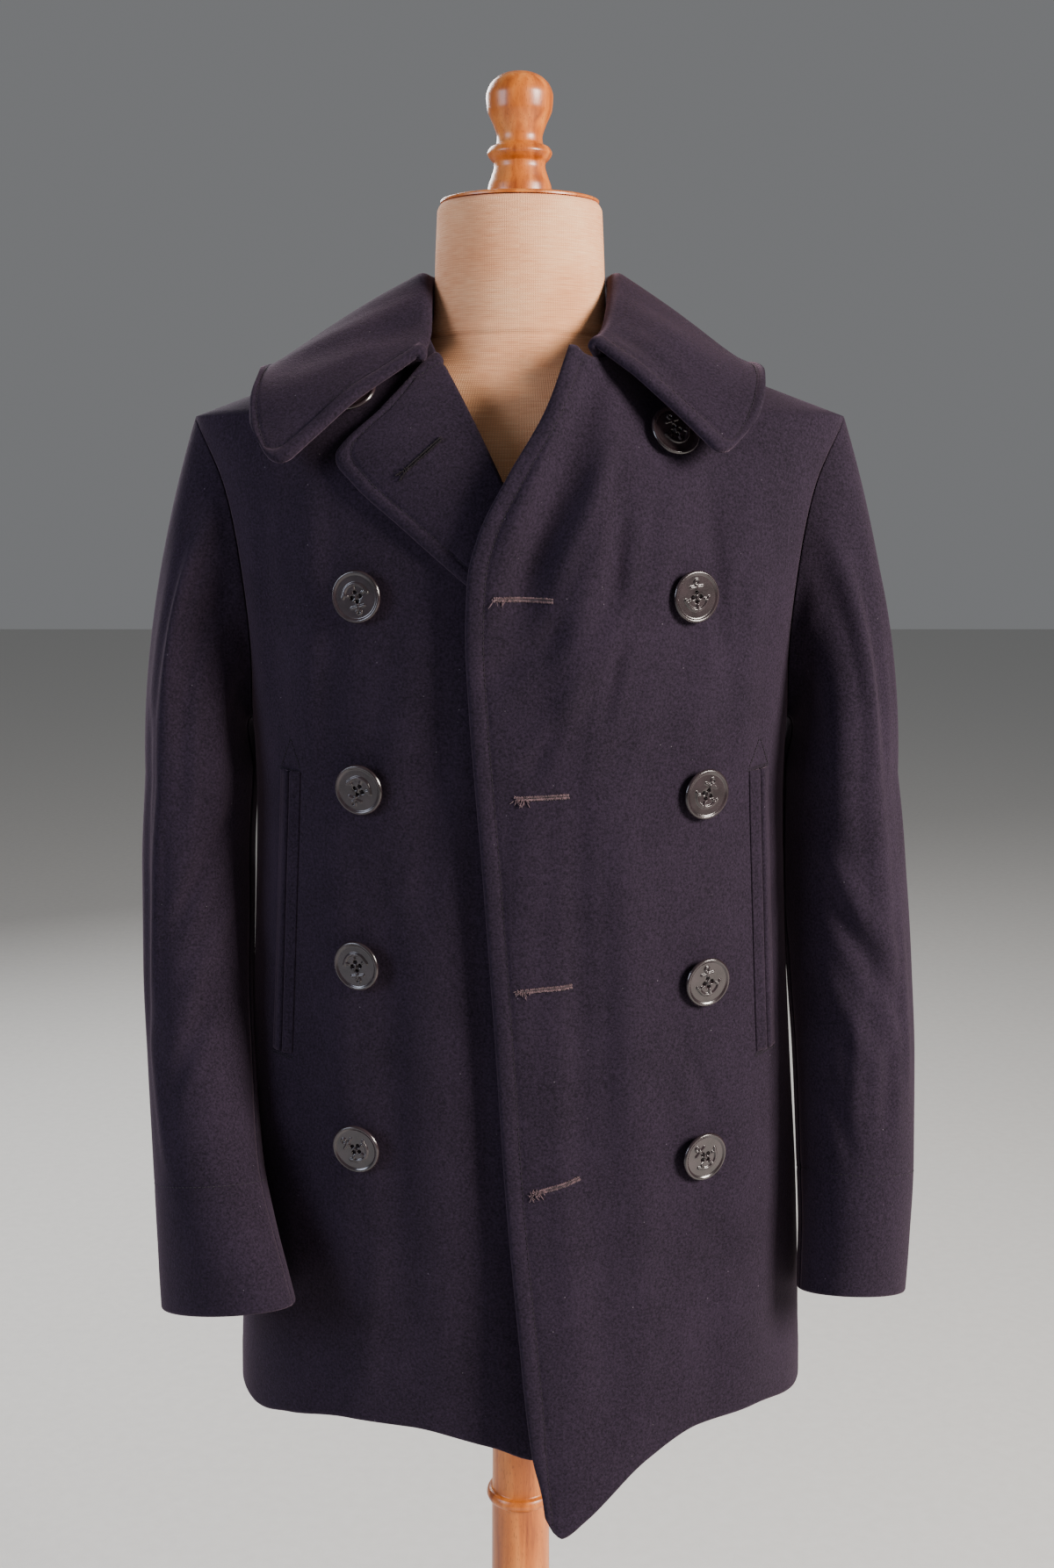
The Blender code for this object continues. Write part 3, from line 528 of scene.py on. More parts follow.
def grid_normals(grid):
    return unit(np.cross(np.gradient(grid, axis=0), np.gradient(grid, axis=1)))


def rim_distances(grid):
    """How far each point of a grid is from its first row, last row, first and last column."""
    down = np.cumsum(np.linalg.norm(np.diff(grid, axis=0, prepend=grid[:1]), axis=2), axis=0)
    across = np.cumsum(np.linalg.norm(np.diff(grid, axis=1, prepend=grid[:, :1]), axis=2), axis=1)
    return down, down[-1:] - down, across, across[:, -1:] - across


def smoothed(field, passes):
    """A grid of vectors, each averaged with its neighbours a number of times."""
    for _ in range(passes):
        for axis in (0, 1):
            ends = [(1, 1) if k == axis else (0, 0) for k in range(field.ndim)]
            wide = np.pad(field, ends, mode="edge")
            before = np.take(wide, range(field.shape[axis]), axis)
            after = np.take(wide, range(2, field.shape[axis] + 2), axis)
            field = (before + 2 * field + after) / 4
    return field


def crowded(count, low=0.0, high=0.0, share=0.07, extra=16):
    """Fractions from 0 to 1, closer together at the low and high ends that ask for it."""
    start, end = share * (low > 0), 1 - share * (high > 0)
    parts = [np.linspace(start, end, count)]
    if low:
        parts.insert(0, start * np.linspace(0, 1, extra, endpoint=False) ** 1.25)
    if high:
        parts.append(1 - (1 - end) * np.linspace(1, 0, extra + 1)[1:] ** 1.25)
    return np.concatenate(parts)


# ---- materials ----------------------------------------------------------------------------


def linear(hex_colour):
    """An sRGB hex colour as linear red, green, blue and alpha."""
    values = [int(hex_colour[k : k + 2], 16) / 255 for k in (1, 3, 5)]
    return (*(v / 12.92 if v <= 0.04045 else ((v + 0.055) / 1.055) ** 2.4 for v in values), 1.0)


def add_node(tree, kind, settings=(), links=()):
    """One node, with its properties and socket values, and links from (node, output) pairs."""
    made = tree.nodes.new("ShaderNode" + kind)
    for key, value in dict(settings).items():
        if isinstance(key, str) and hasattr(made, key):
            setattr(made, key, value)
        else:
            made.inputs[key].default_value = value
    for key, (source, output) in dict(links).items():
        tree.links.new(source.outputs[output], made.inputs[key])
    return made


def start_material(name, settings):
    made = bpy.data.materials.new(name)
    made.use_nodes = True
    tree = made.node_tree
    shader = tree.nodes["Principled BSDF"]
    for key, value in settings.items():
        shader.inputs[key].default_value = value
    place = add_node(tree, "TexCoord")
    return made, tree, shader, place


def ramp(tree, source, output, stops):
    """A colour ramp on one value, from (position, hex colour) stops."""
    made = add_node(tree, "ValToRGB", links={"Fac": (source, output)})
    while len(made.color_ramp.elements) < len(stops):
        made.color_ramp.elements.new(0.5)
    for element, (position, colour) in zip(made.color_ramp.elements, stops):
        element.position = position
        element.color = linear(colour)
    return made


def melton_wool(name, dark, light, lint):
    """Melton: a dense wool, fulled and brushed until its weave is gone. A short matt nap that
    lights up at grazing angles, faint mottling, and pale lint caught in it."""
    made, tree, shader, place = start_material(
        name,
        {
            "Roughness": 0.92,
            "IOR": 1.45,
            "Specular IOR Level": 0.12,
            "Sheen Weight": 0.34,
            "Sheen Roughness": 0.42,
            "Sheen Tint": linear("#9a8294"),
        },
    )
    # mottling 45 mm across, and nap tufts 1.6 mm across, drawn coarser than the real 0.4 mm
    mottle = add_node(tree, "TexNoise", {"Scale": 22.0, "Detail": 3.0}, {"Vector": (place, "Object")})
    nap = add_node(
        tree, "TexNoise", {"Scale": 620.0, "Detail": 3.0, "Roughness": 0.7}, {"Vector": (place, "Object")}
    )
    tone = add_node(
        tree,
        "Mix",
        {"data_type": "FLOAT", 0: 0.84},
        {2: (mottle, "Fac"), 3: (nap, "Fac")},
    )
    cloth = ramp(tree, tone, 0, ((0.34, dark), (0.64, light)))
    # lint: specks under 1 mm, some 8 mm apart
    specks = add_node(
        tree, "TexVoronoi", {"Scale": 130.0, "Randomness": 1.0}, {"Vector": (place, "Object")}
    )
    chance = add_node(tree, "SeparateColor", links={0: (specks, "Color")})
    near = add_node(
        tree,
        "MapRange",
        {"From Min": 0.015, "From Max": 0.065, "To Min": 1.0, "To Max": 0.0},
        {"Value": (specks, "Distance")},
    )
    few = add_node(
        tree, "MapRange", {"From Min": 0.72, "From Max": 0.95, "To Max": 0.50}, {"Value": (chance, 0)}
    )
    speck = add_node(tree, "Math", {"operation": "MULTIPLY"}, {0: (near, 0), 1: (few, 0)})
    colour = add_node(
        tree,
        "Mix",
        {"data_type": "RGBA", 7: linear(lint)},
        {0: (speck, 0), 6: (cloth, 0)},
    )
    tree.links.new(colour.outputs[2], shader.inputs["Base Color"])
    soft = add_node(
        tree, "TexNoise", {"Scale": 160.0, "Detail": 2.0}, {"Vector": (place, "Object")}
    )
    relief = add_node(tree, "Mix", {"data_type": "FLOAT", 0: 0.4}, {2: (nap, "Fac"), 3: (soft, "Fac")})
    bump = add_node(tree, "Bump", {"Strength": 0.55, "Distance": 0.0009}, {"Height": (relief, 0)})
    tree.links.new(bump.outputs[0], shader.inputs["Normal"])
    return made


def linen_canvas():
    """Linen canvas: plain weave of uneven flax threads, stretched over the form and pasted down.
    Matt and warm, with slubs and a faint age tone."""
    made, tree, shader, place = start_material(
        "linen_canvas",
        {"Roughness": 0.86, "Specular IOR Level": 0.2, "Sheen Weight": 0.08, "Sheen Roughness": 0.6},
    )
    # round the neck: x is the distance round, from the angle and the neck's radius
    split = add_node(tree, "SeparateXYZ", links={0: (place, "Object")})
    turn = add_node(tree, "Math", {"operation": "ARCTAN2"}, {0: (split, 0), 1: (split, 1)})
    around = add_node(tree, "Math", {"operation": "MULTIPLY", 1: 0.058}, {0: (turn, 0)})
    flat = add_node(tree, "CombineXYZ", links={0: (around, 0), 1: (split, 2)})
    # threads 1.3 mm apart: the real 0.7 mm would be lost
    warp = add_node(
        tree,
        "TexWave",
        {"bands_direction": "X", "Scale": 245.0, "Distortion": 1.4, "Detail": 2.0, "Detail Scale": 1.5},
        {"Vector": (flat, 0)},
    )
    weft = add_node(
        tree,
        "TexWave",
        {"bands_direction": "Y", "Scale": 245.0, "Distortion": 1.4, "Detail": 2.0, "Detail Scale": 1.5},
        {"Vector": (flat, 0)},
    )
    weave = add_node(tree, "Math", {"operation": "MULTIPLY"}, {0: (warp, "Fac"), 1: (weft, "Fac")})
    # slubs: thick places 1 mm by 14 mm along a weft thread
    stretch = add_node(tree, "Mapping", {"Scale": (70.0, 900.0, 1.0)}, {"Vector": (flat, 0)})
    slub = add_node(tree, "TexNoise", {"Scale": 1.0, "Detail": 2.0}, {"Vector": (stretch, 0)})
    age = add_node(tree, "TexNoise", {"Scale": 17.0, "Detail": 4.0}, {"Vector": (place, "Object")})
    tone = add_node(tree, "Mix", {"data_type": "FLOAT", 0: 0.45}, {2: (age, "Fac"), 3: (slub, "Fac")})
    thread = ramp(tree, tone, 0, ((0.32, "#df9668"), (0.52, "#f2b183"), (0.72, "#fdca9c")))
    shade = add_node(
        tree, "MapRange", {"From Min": 0.0, "From Max": 0.6, "To Min": 0.82, "To Max": 1.0}, {0: (weave, 0)}
    )
    colour = add_node(
        tree,
        "Mix",
        {"data_type": "RGBA", "blend_type": "MULTIPLY", 0: 1.0},
        {6: (thread, 0), 7: (shade, 0)},
    )
    tree.links.new(colour.outputs[2], shader.inputs["Base Color"])
    bump = add_node(tree, "Bump", {"Strength": 0.5, "Distance": 0.0006}, {"Height": (weave, 0)})
    tree.links.new(bump.outputs[0], shader.inputs["Normal"])
    return made


def varnished_beech():
    """Beech, turned on a lathe, stained honey and varnished. Straight grain along the axis, the
    short dark flecks of beech, and a clear coat with a soft shine."""
    made, tree, shader, place = start_material(
        "varnished_beech", {"IOR": 1.5, "Coat Weight": 0.25, "Coat Roughness": 0.22}
    )
    # grain 9 mm wide and 110 mm long; flecks 0.7 mm wide and 5 mm long
    long_grain = add_node(tree, "Mapping", {"Scale": (110.0, 110.0, 9.0)}, {"Vector": (place, "Object")})
    grain = add_node(
        tree, "TexNoise", {"Scale": 1.0, "Detail": 5.0, "Distortion": 0.6}, {"Vector": (long_grain, 0)}
    )
    short_fleck = add_node(tree, "Mapping", {"Scale": (1400.0, 1400.0, 210.0)}, {"Vector": (place, "Object")})
    fleck = add_node(tree, "TexNoise", {"Scale": 1.0, "Detail": 1.0}, {"Vector": (short_fleck, 0)})
    wood = ramp(tree, grain, "Fac", ((0.28, "#8c4212"), (0.48, "#bd651f"), (0.70, "#d98438")))
    dark = add_node(
        tree, "MapRange", {"From Min": 0.60, "From Max": 0.72, "To Min": 0.0, "To Max": 0.5}, {0: (fleck, "Fac")}
    )
    colour = add_node(
        tree, "Mix", {"data_type": "RGBA", 7: linear("#6b3414")}, {0: (dark, 0), 6: (wood, 0)}
    )
    tree.links.new(colour.outputs[2], shader.inputs["Base Color"])
    rough = add_node(tree, "MapRange", {"To Min": 0.30, "To Max": 0.48}, {0: (grain, "Fac")})
    tree.links.new(rough.outputs[0], shader.inputs["Roughness"])
    bump = add_node(tree, "Bump", {"Strength": 0.12, "Distance": 0.0004}, {"Height": (fleck, "Fac")})
    tree.links.new(bump.outputs[0], shader.inputs["Normal"])
    return made


def moulded_plastic():
    """Urea resin, moulded and tumbled: near black with a brown cast, glossy, with fine scuffs
    that vary its shine."""
    made, tree, shader, place = start_material(
        "moulded_urea", {"IOR": 1.55, "Coat Weight": 0.35, "Coat Roughness": 0.12}
    )
    cloud = add_node(tree, "TexNoise", {"Scale": 90.0, "Detail": 3.0}, {"Vector": (place, "Object")})
    scuff = add_node(tree, "TexNoise", {"Scale": 1500.0, "Detail": 2.0}, {"Vector": (place, "Object")})
    colour = ramp(tree, cloud, "Fac", ((0.30, "#1b1416"), (0.70, "#2f2428")))
    tree.links.new(colour.outputs[0], shader.inputs["Base Color"])
    rough = add_node(tree, "MapRange", {"To Min": 0.14, "To Max": 0.30}, {0: (scuff, "Fac")})
    tree.links.new(rough.outputs[0], shader.inputs["Roughness"])
    bump = add_node(tree, "Bump", {"Strength": 0.06, "Distance": 0.0003}, {"Height": (scuff, "Fac")})
    tree.links.new(bump.outputs[0], shader.inputs["Normal"])
    return made


def twisted_thread(name, dark, light, sheen):
    """Buttonhole twist: polished three-ply thread, dyed with the cloth and faded to brown-grey
    where it has worn."""
    made, tree, shader, place = start_material(
        name, {"Roughness": 0.8, "Specular IOR Level": 0.2, "Sheen Weight": sheen}
    )
    fade = add_node(tree, "TexNoise", {"Scale": 420.0, "Detail": 2.0}, {"Vector": (place, "Object")})
    colour = ramp(tree, fade, "Fac", ((0.35, dark), (0.65, light)))
    tree.links.new(colour.outputs[0], shader.inputs["Base Color"])
    bump = add_node(tree, "Bump", {"Strength": 0.3, "Distance": 0.0002}, {"Height": (fade, "Fac")})
    tree.links.new(bump.outputs[0], shader.inputs["Normal"])
    return made


def matt_paint():
    """Studio floor: matt emulsion rolled on a board, pale and even."""
    made, tree, shader, place = start_material("matt_paint", {"Roughness": 0.9})
    roller = add_node(tree, "TexNoise", {"Scale": 60.0, "Detail": 2.0}, {"Vector": (place, "Object")})
    colour = ramp(tree, roller, "Fac", ((0.3, "#d3d2cf"), (0.7, "#d8d7d4")))
    tree.links.new(colour.outputs[0], shader.inputs["Base Color"])
    return made


MELTON = melton_wool("melton_wool", "#130f17", "#2b2230", "#8f8792")
LINEN = linen_canvas()
BEECH = varnished_beech()
UREA = moulded_plastic()
TWIST = twisted_thread("buttonhole_twist", "#3b2b30", "#6e5459", 0.3)
DARK_TWIST = twisted_thread("dark_twist", "#100c0f", "#1f191e", 0.05)
THREAD = twisted_thread("seam_thread", "#120f14", "#211b22", 0.1)

# ---- meshes -------------------------------------------------------------------------------


def add_object(name, vertices, faces, finish, slot=None):
    mesh = bpy.data.meshes.new(name)
    mesh.from_pydata(np.asarray(vertices).tolist(), [], np.asarray(faces).tolist())
    mesh.update()
    mesh.materials.append(finish)
    mesh.shade_smooth()
    made = bpy.data.objects.new(name, mesh)
    bpy.context.scene.collection.objects.link(made)
    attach(made, "root")
    return made


def volume(vertices, faces):
    a, b, c = (vertices[faces[:, k]] for k in (0, 1, 2))
    total = np.einsum("ij,ij->", a, np.cross(b, c))
    if faces.shape[1] == 4:
        d = vertices[faces[:, 3]]
        total += np.einsum("ij,ij->", a, np.cross(c, d))
    return total


def closed_shell(top, bottom):
    """Vertices and quads of a wall between two grids, joined round their rim."""
    rows, columns = top.shape[:2]
    index = np.arange(rows * columns).reshape(rows, columns)
    quads = np.stack([index[:-1, :-1], index[:-1, 1:], index[1:, 1:], index[1:, :-1]], -1).reshape(-1, 4)
    half = rows * columns
    rim = np.concatenate([index[0], index[1:, -1], index[-1, -2::-1], index[-2:0:-1, 0]])
    after = np.roll(rim, -1)
    sides = np.stack([after, rim, rim + half, after + half], -1)
    faces = np.concatenate([quads, quads[:, ::-1] + half, sides])
    vertices = np.concatenate([top.reshape(-1, 3), bottom.reshape(-1, 3)])
    return vertices, faces if volume(vertices, faces) > 0 else faces[:, ::-1]


def outward_normals(grid, middle=None):
    """Grid normals turned away from the coat's axis, or from a given middle line."""
    normals = grid_normals(grid)
    away = grid - (np.array([0, 0, 1.1]) if middle is None else middle)
    return normals if (normals * away * [1, 1, 0.3]).sum() > 0 else -normals


def cloth(name, outer, thickness, rounding, swell=0.0, middle=None, nodes=None, finish=None):
    """A closed cloth under the grid of its outer face. rounding is each point's distance to
    the nearest rim over that rim's radius, and swell is what a stitched edge adds."""
    normals = outward_normals(outer, middle)
    full = np.sqrt(1 - (1 - np.clip(rounding, 0, 1)) ** 2)
    half = thickness / 2 * np.maximum(full, 0.10)[..., None]
    centre = outer - normals * thickness / 2
    top = centre + normals * (half + np.asarray(swell)[..., None])
    vertices, faces = closed_shell(top, centre - normals * half)
    made = add_object(f"cloth_{name}", vertices, faces, finish or MELTON, "melton_wool")
    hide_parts(*(nodes or [name]))
    return top, normals


def seamed(distance):
    """How full a cloth is near a seam, as a share of the way in from a round edge."""
    return SEAM_SHALLOW + distance / SEAM_ROUND


def edge_swell(distance, height=0.0011, groove=0.0007):
    """The puffed band between a faced edge and its topstitching, and the stitches' groove."""
    band = np.sin(np.pi * np.clip(distance / STITCH_IN, 0, 1)) ** 0.7
    return height * band - groove * np.exp(-(((distance - STITCH_IN) / 0.0012) ** 2))


def rods(starts, ends, normals, radius, arch=0.0, sides=6, stations=(0, 0.12, 0.35, 0.65, 0.88, 1)):
    """Vertices and quads of many short round threads, each arched along its normal."""
    t = np.array(stations)[None, :, None, None]
    turn = (2 * np.pi * np.arange(sides) / sides)[None, None, :, None]
    taper = np.clip(np.sqrt(np.sin(np.pi * np.clip(t, 0.03, 0.97))), 0.35, 1)
    starts, ends, normals = (np.asarray(v, float)[:, None, None, :] for v in (starts, ends, normals))
    along = unit(ends - starts)
    across = unit(np.cross(along, normals))
    lift = np.cross(across, along)
    size = np.asarray(radius, float).reshape(-1, 1, 1, 1) * taper
    rise = np.asarray(arch, float).reshape(-1, 1, 1, 1) * np.sin(np.pi * t)
    points = starts + (ends - starts) * t + lift * rise
    points = points + size * (across * np.cos(turn) + lift * np.sin(turn))
    count, rings = len(points), len(stations)
    index = np.arange(count * rings * sides).reshape(count, rings, sides)
    around = np.roll(index, -1, axis=2)
    quads = np.stack([index[:, :-1], around[:, :-1], around[:, 1:], index[:, 1:]], -1).reshape(-1, 4)
    return points.reshape(-1, 3), quads


def joined(parts):
    """Several (vertices, quads) pairs as one."""
    vertices, faces, start = [], [], 0
    for points, quads in parts:
        vertices.append(points)
        faces.append(quads + start)
        start += len(points)
    return np.concatenate(vertices), np.concatenate(faces)


def resampled(points, pitch, *others):
    """A line of points, and arrays that go with it, at even steps along it."""
    lengths = np.concatenate([[0], np.cumsum(np.linalg.norm(np.diff(points, axis=0), axis=1))])
    at = np.arange(0, lengths[-1], pitch)
    return [np.stack([np.interp(at, lengths, values[:, k]) for k in range(3)], -1) for values in (points, *others)]


def stitch_row(points, normals, pitch=STITCH_PITCH, radius=STITCH_R, sink=0.0001):
    """Running stitches along a line on the cloth."""
    line, lift = resampled(points, pitch / 4, points * 0 + normals)
    starts = np.arange(0, len(line) - 3, 4)
    lift = unit(lift)
    base = line - lift * sink
    return rods(base[starts], base[starts + 3], lift[starts], radius, arch=radius * 0.9)


def line_in(grid, normals, distance, value):
    """The line on a grid where a distance that grows along its columns has a value."""
    points, lifts = [], []
    for row, lift, here in zip(grid, normals, distance):
        if here[-1] > value:
            points.append([np.interp(value, here, row[:, k]) for k in range(3)])
            lifts.append([np.interp(value, here, lift[:, k]) for k in range(3)])
    return np.array(points), np.array(lifts)


def turned(name, profile, finish, nodes, segments=96, steps=7):
    """A lathe-turned solid from radius and height pairs, its corners rounded by the curve."""
    table = [(k, *row) for k, row in enumerate(profile)]
    at = np.linspace(0, len(profile) - 1, (len(profile) - 1) * steps + 1)
    radius, height = curve(table, 1, at), curve(table, 2, at)
    angles = 2 * np.pi * np.arange(segments) / segments
    ring = np.stack([np.cos(angles), np.sin(angles)], -1)
    rings = np.concatenate(
        [np.maximum(radius, 1e-5)[:, None, None] * ring, np.broadcast_to(height[:, None, None], (len(at), segments, 1))],
        axis=2,
    )
    index = np.arange(len(at) * segments).reshape(len(at), segments)
    around = np.roll(index, -1, axis=1)
    quads = np.stack([index[:-1], index[1:], around[1:], around[:-1]], -1).reshape(-1, 4)
    vertices = rings.reshape(-1, 3)
    faces = [*quads.tolist(), index[0].tolist(), index[-1][::-1].tolist()]
    if volume(vertices, quads) < 0:
        faces = [face[::-1] for face in faces]
    mesh = bpy.data.meshes.new(name)
    mesh.from_pydata(vertices.tolist(), [], faces)
    mesh.materials.append(finish)
    mesh.shade_smooth()
    mesh.set_sharp_from_angle(angle=math.radians(50))
    made = bpy.data.objects.new(name, mesh)
    bpy.context.scene.collection.objects.link(made)
    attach(made, "root")
    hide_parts(*nodes)
    return made


# ---- the coat's body ----------------------------------------------------------------------


def half_width(z):
    rise = (z - SHOULDER_Z) / (NECK_Z - SHOULDER_Z)
    return np.where(z <= SHOULDER_Z, curve(RINGS, 1, z), SHOULDER_HALF + (NECK_HALF - SHOULDER_HALF) * rise)


def depth(face, z):
    return curve(RINGS, 2 if face == "front" else 3, z)


def squareness(z):
    return curve(RINGS, 4, z)


def lapped(x, z):
    """How far forward the left front stands of its own section."""
    lap = LAP * (1 - ease(0.060, 0.150, x)) * (1 - 0.6 * ease(1.300, 1.360, z))
    return curve(RINGS, 5, z) * (1 - ease(0.020, 0.105, x)) + lap


def body_point(face, side, angle, z, creased=True):
    """The coat's outer surface. angle is 0 at the centre and 90 degrees at the side seam."""
    power = 2 / squareness(z)
    x = side * half_width(z) * signed_power(np.sin(angle), power)
    y = depth(face, z) * signed_power(np.cos(angle), power)
    y = y + crease_height(FOLDS[face, side], x, z)
    if creased:
        y = y + crease_height(CREASES[face, side], x, z)
    if face == "back":
        return np.stack([x, y, z + 0 * x], -1)
    y = -y - (lapped(x, z) if side > 0 else 0)
    return np.stack([x, y, z + 0 * x], -1)


def angle_at_x(x, z):
    ratio = np.clip(np.abs(x) / half_width(z), 0, 1)
    return np.copysign(np.arcsin(ratio ** (squareness(z) / 2)), x)


def angle_at_y(face, distance, z):
    ratio = np.clip(distance / depth(face, z), 0, 1)
    return np.arccos(ratio ** (squareness(z) / 2))


def armhole_angle(face, z):
    middle, reach = (UNDERARM_Z + SHOULDER_Z) / 2, (SHOULDER_Z - UNDERARM_Z) / 2
    bow = np.sqrt(np.clip(1 - ((z - middle) / reach) ** 2, 0, None))
    return angle_at_y(face, SEAM + ARMHOLE[face] * bow, z)


def on_front(side, x, z, lift=0.0):
    """Points of a front at (x, z), raised off it, and the normals there."""
    x, z = np.broadcast_arrays(np.asarray(x, float), np.asarray(z, float))

    def place(x, z):
        return body_point("front", side, side * angle_at_x(x, z), z)

    step = 5e-4
    normals = unit(np.cross(place(x + step, z) - place(x - step, z), place(x, z + step) - place(x, z - step)))
    normals = normals * np.sign(-normals[..., 1:2])
    return place(x, z) + normals * np.asarray(lift)[..., None], normals


def panel_levels():
    """Heights of a panel's rows: crowded at the hem, even up the body, then round the armhole."""
    middle, reach = (UNDERARM_Z + SHOULDER_Z) / 2, (SHOULDER_Z - UNDERARM_Z) / 2
    lower = HEM_Z + (UNDERARM_Z - HEM_Z) * crowded(106, low=1, share=0.02, extra=7)[:-1]
    armhole = middle - reach * np.cos(np.pi * np.arange(46) / 46)
    return np.concatenate([lower, armhole, np.linspace(SHOULDER_Z, NECK_Z, 14)])


def settled_height(face, side, z, x, top):
    """Bends the lowest rows down to the hem's line and the highest ones to the panel's top."""
    if face == "back":
        hem = curve(BACK_HEM, 1, np.abs(x))
    else:
        hem = curve(LEFT_HEM if side > 0 else RIGHT_HEM, 1, x)
    low = HEM_BLEND_Z - (HEM_BLEND_Z - z) * (HEM_BLEND_Z - hem) / (HEM_BLEND_Z - HEM_Z)
    high = SHOULDER_Z + (z - SHOULDER_Z) * (top(x) - SHOULDER_Z) / (NECK_Z - SHOULDER_Z)
    return np.where(z < HEM_BLEND_Z, low, np.where(z > SHOULDER_Z, high, z))


def panel_grid(face, side, inner_x, top, fractions):
    levels = panel_levels()[:, None] + 0 * fractions[None, :]
    z = levels.copy()
    for _ in range(4):
        start = angle_at_x(side * inner_x(z), z)
        end = armhole_angle(face, np.where(levels > UNDERARM_Z, levels, z))
        angle = start + (end - start) * fractions
        x = body_point(face, side, angle, z)[..., 0]
        z = settled_height(face, side, levels, x, top)
    return body_point(face, side, angle, z)


def outside_body(points, clearance):
    """Moves points outwards until they are clear of the coat's body."""

    def level(p):
        x, y, z = p[..., 0], p[..., 1], np.clip(p[..., 2], 0.61, NECK_Z - 0.001)
        forward = -y - np.where(x >= 0, lapped(x, z), 0)
        over_front, over_back = np.clip(forward, 0, None) / depth("front", z), y / depth("back", z)
        power = squareness(z)
        away = np.where(y < 0, over_front, over_back)
        return (np.abs(x / half_width(z)) ** power + np.abs(away) ** power) ** (1 / power) - 1

    step = 1e-4
    for _ in range(6):
        here = level(points)
        slope = np.stack([(level(points + step * axis) - here) / step for axis in np.eye(3)], -1)
        size = np.maximum(np.linalg.norm(slope, axis=-1), 1e-6)
        short = np.clip(clearance - here / size, 0, None)
        points = points + slope / size[..., None] * short[..., None]
    return points


def left_inner(z):
    """The left front's free edge, its corner rounded where it meets the hem."""
    corner = 1 - np.clip((z - 0.6175) / 0.014, 0, 1)
    return curve(LEFT_EDGE, 1, z) + 0.006 * (1 - np.sqrt(1 - corner**2))


def left_top(x):
    return curve(LEFT_TOP, 1, x)


def back_top(x):
    return 1.404 + (NECK_Z - 1.404) * ease(0.030, 0.080, np.abs(x))


def hem_swell(distance):
    """A turned-up hem is a little thicker, with a faint ridge where its raw edge is felled."""
    return 0.0006 * (1 - ease(HEM_TURN * 0.7, HEM_TURN, distance)) + 0.0003 * np.exp(
        -(((distance - HEM_TURN) / 0.004) ** 2)
    )


def panels():
    """The four body panels. Returns the left front's topstitching."""
    plans = (
        ("front_left", "front", 1, left_inner, left_top, crowded(74, low=1)),
        ("front_right", "front", -1, lambda z: curve(RIGHT_EDGE, 1, z), lambda x: NECK_Z + 0 * x, crowded(78, low=1)),
        ("back_left", "back", 1, lambda z: SEAM + 0 * z, back_top, crowded(64)),
        ("back_right", "back", -1, lambda z: -SEAM + 0 * z, back_top, crowded(64)),
    )
    stitches = []
    for name, face, side, inner_x, top, fractions in plans:
        outer = panel_grid(face, side, inner_x, top, fractions)
        from_hem, from_top, from_inner, from_seam = rim_distances(outer)
        inner = from_inner / EDGE_ROUND if face == "front" else seamed(from_inner) + PRESSED
        rounding = np.minimum.reduce([from_hem / EDGE_ROUND, seamed(from_top), inner, seamed(from_seam)])
        swell = hem_swell(from_hem)
        if name == "front_left":
            rim = np.minimum(from_inner, from_top + 0.5 * ease(0.045, 0.055, outer[..., 0]))
            swell = swell * ease(0.010, 0.020, from_inner) + edge_swell(rim)
        surface, normals = cloth(name, outer, CLOTH, rounding, swell)
        if name == "front_left":
            stitches.append(stitch_row(*line_in(surface, normals, from_inner, STITCH_IN)))
    return stitches


# ---- sleeves ------------------------------------------------------------------------------


def armhole_point(side, turn):
    middle, reach = (UNDERARM_Z + SHOULDER_Z) / 2, (SHOULDER_Z - UNDERARM_Z) / 2
    z = middle + reach * np.cos(turn)
    ahead = np.sin(turn) >= 0
    distance = np.where(ahead, ARMHOLE["front"], ARMHOLE["back"]) * np.abs(np.sin(turn))
    front = body_point("front", side, angle_at_y("front", distance, z), z, creased=False)
    back = body_point("back", side, angle_at_y("back", distance, z), z, creased=False)
    x = np.abs(np.where(ahead, front[..., 0], back[..., 0])) + 0.0003
    return np.stack([side * x, -np.copysign(distance, np.sin(turn)), z], -1)


def arm_point(side, turn, z):
    table = SLEEVES["left" if side > 0 else "right"][::-1]
    x_in, x_out, y_front, y_back, twist = (curve(table, k, z) for k in range(1, 6))
    x = (x_in + x_out) / 2 + (x_out - x_in) / 2 * np.cos(turn)
    y = (y_front + y_back) / 2 - (y_back - y_front) / 2 * np.sin(turn) + twist * np.cos(turn)
    cuff = 1 - ease(0.0, 0.16, z - table[0][0])
    front_rise, outer_rise = CUFFS["left" if side > 0 else "right"]
    return np.stack([side * x, y, z + cuff * (front_rise * np.sin(turn) + outer_rise * np.cos(turn))], -1)


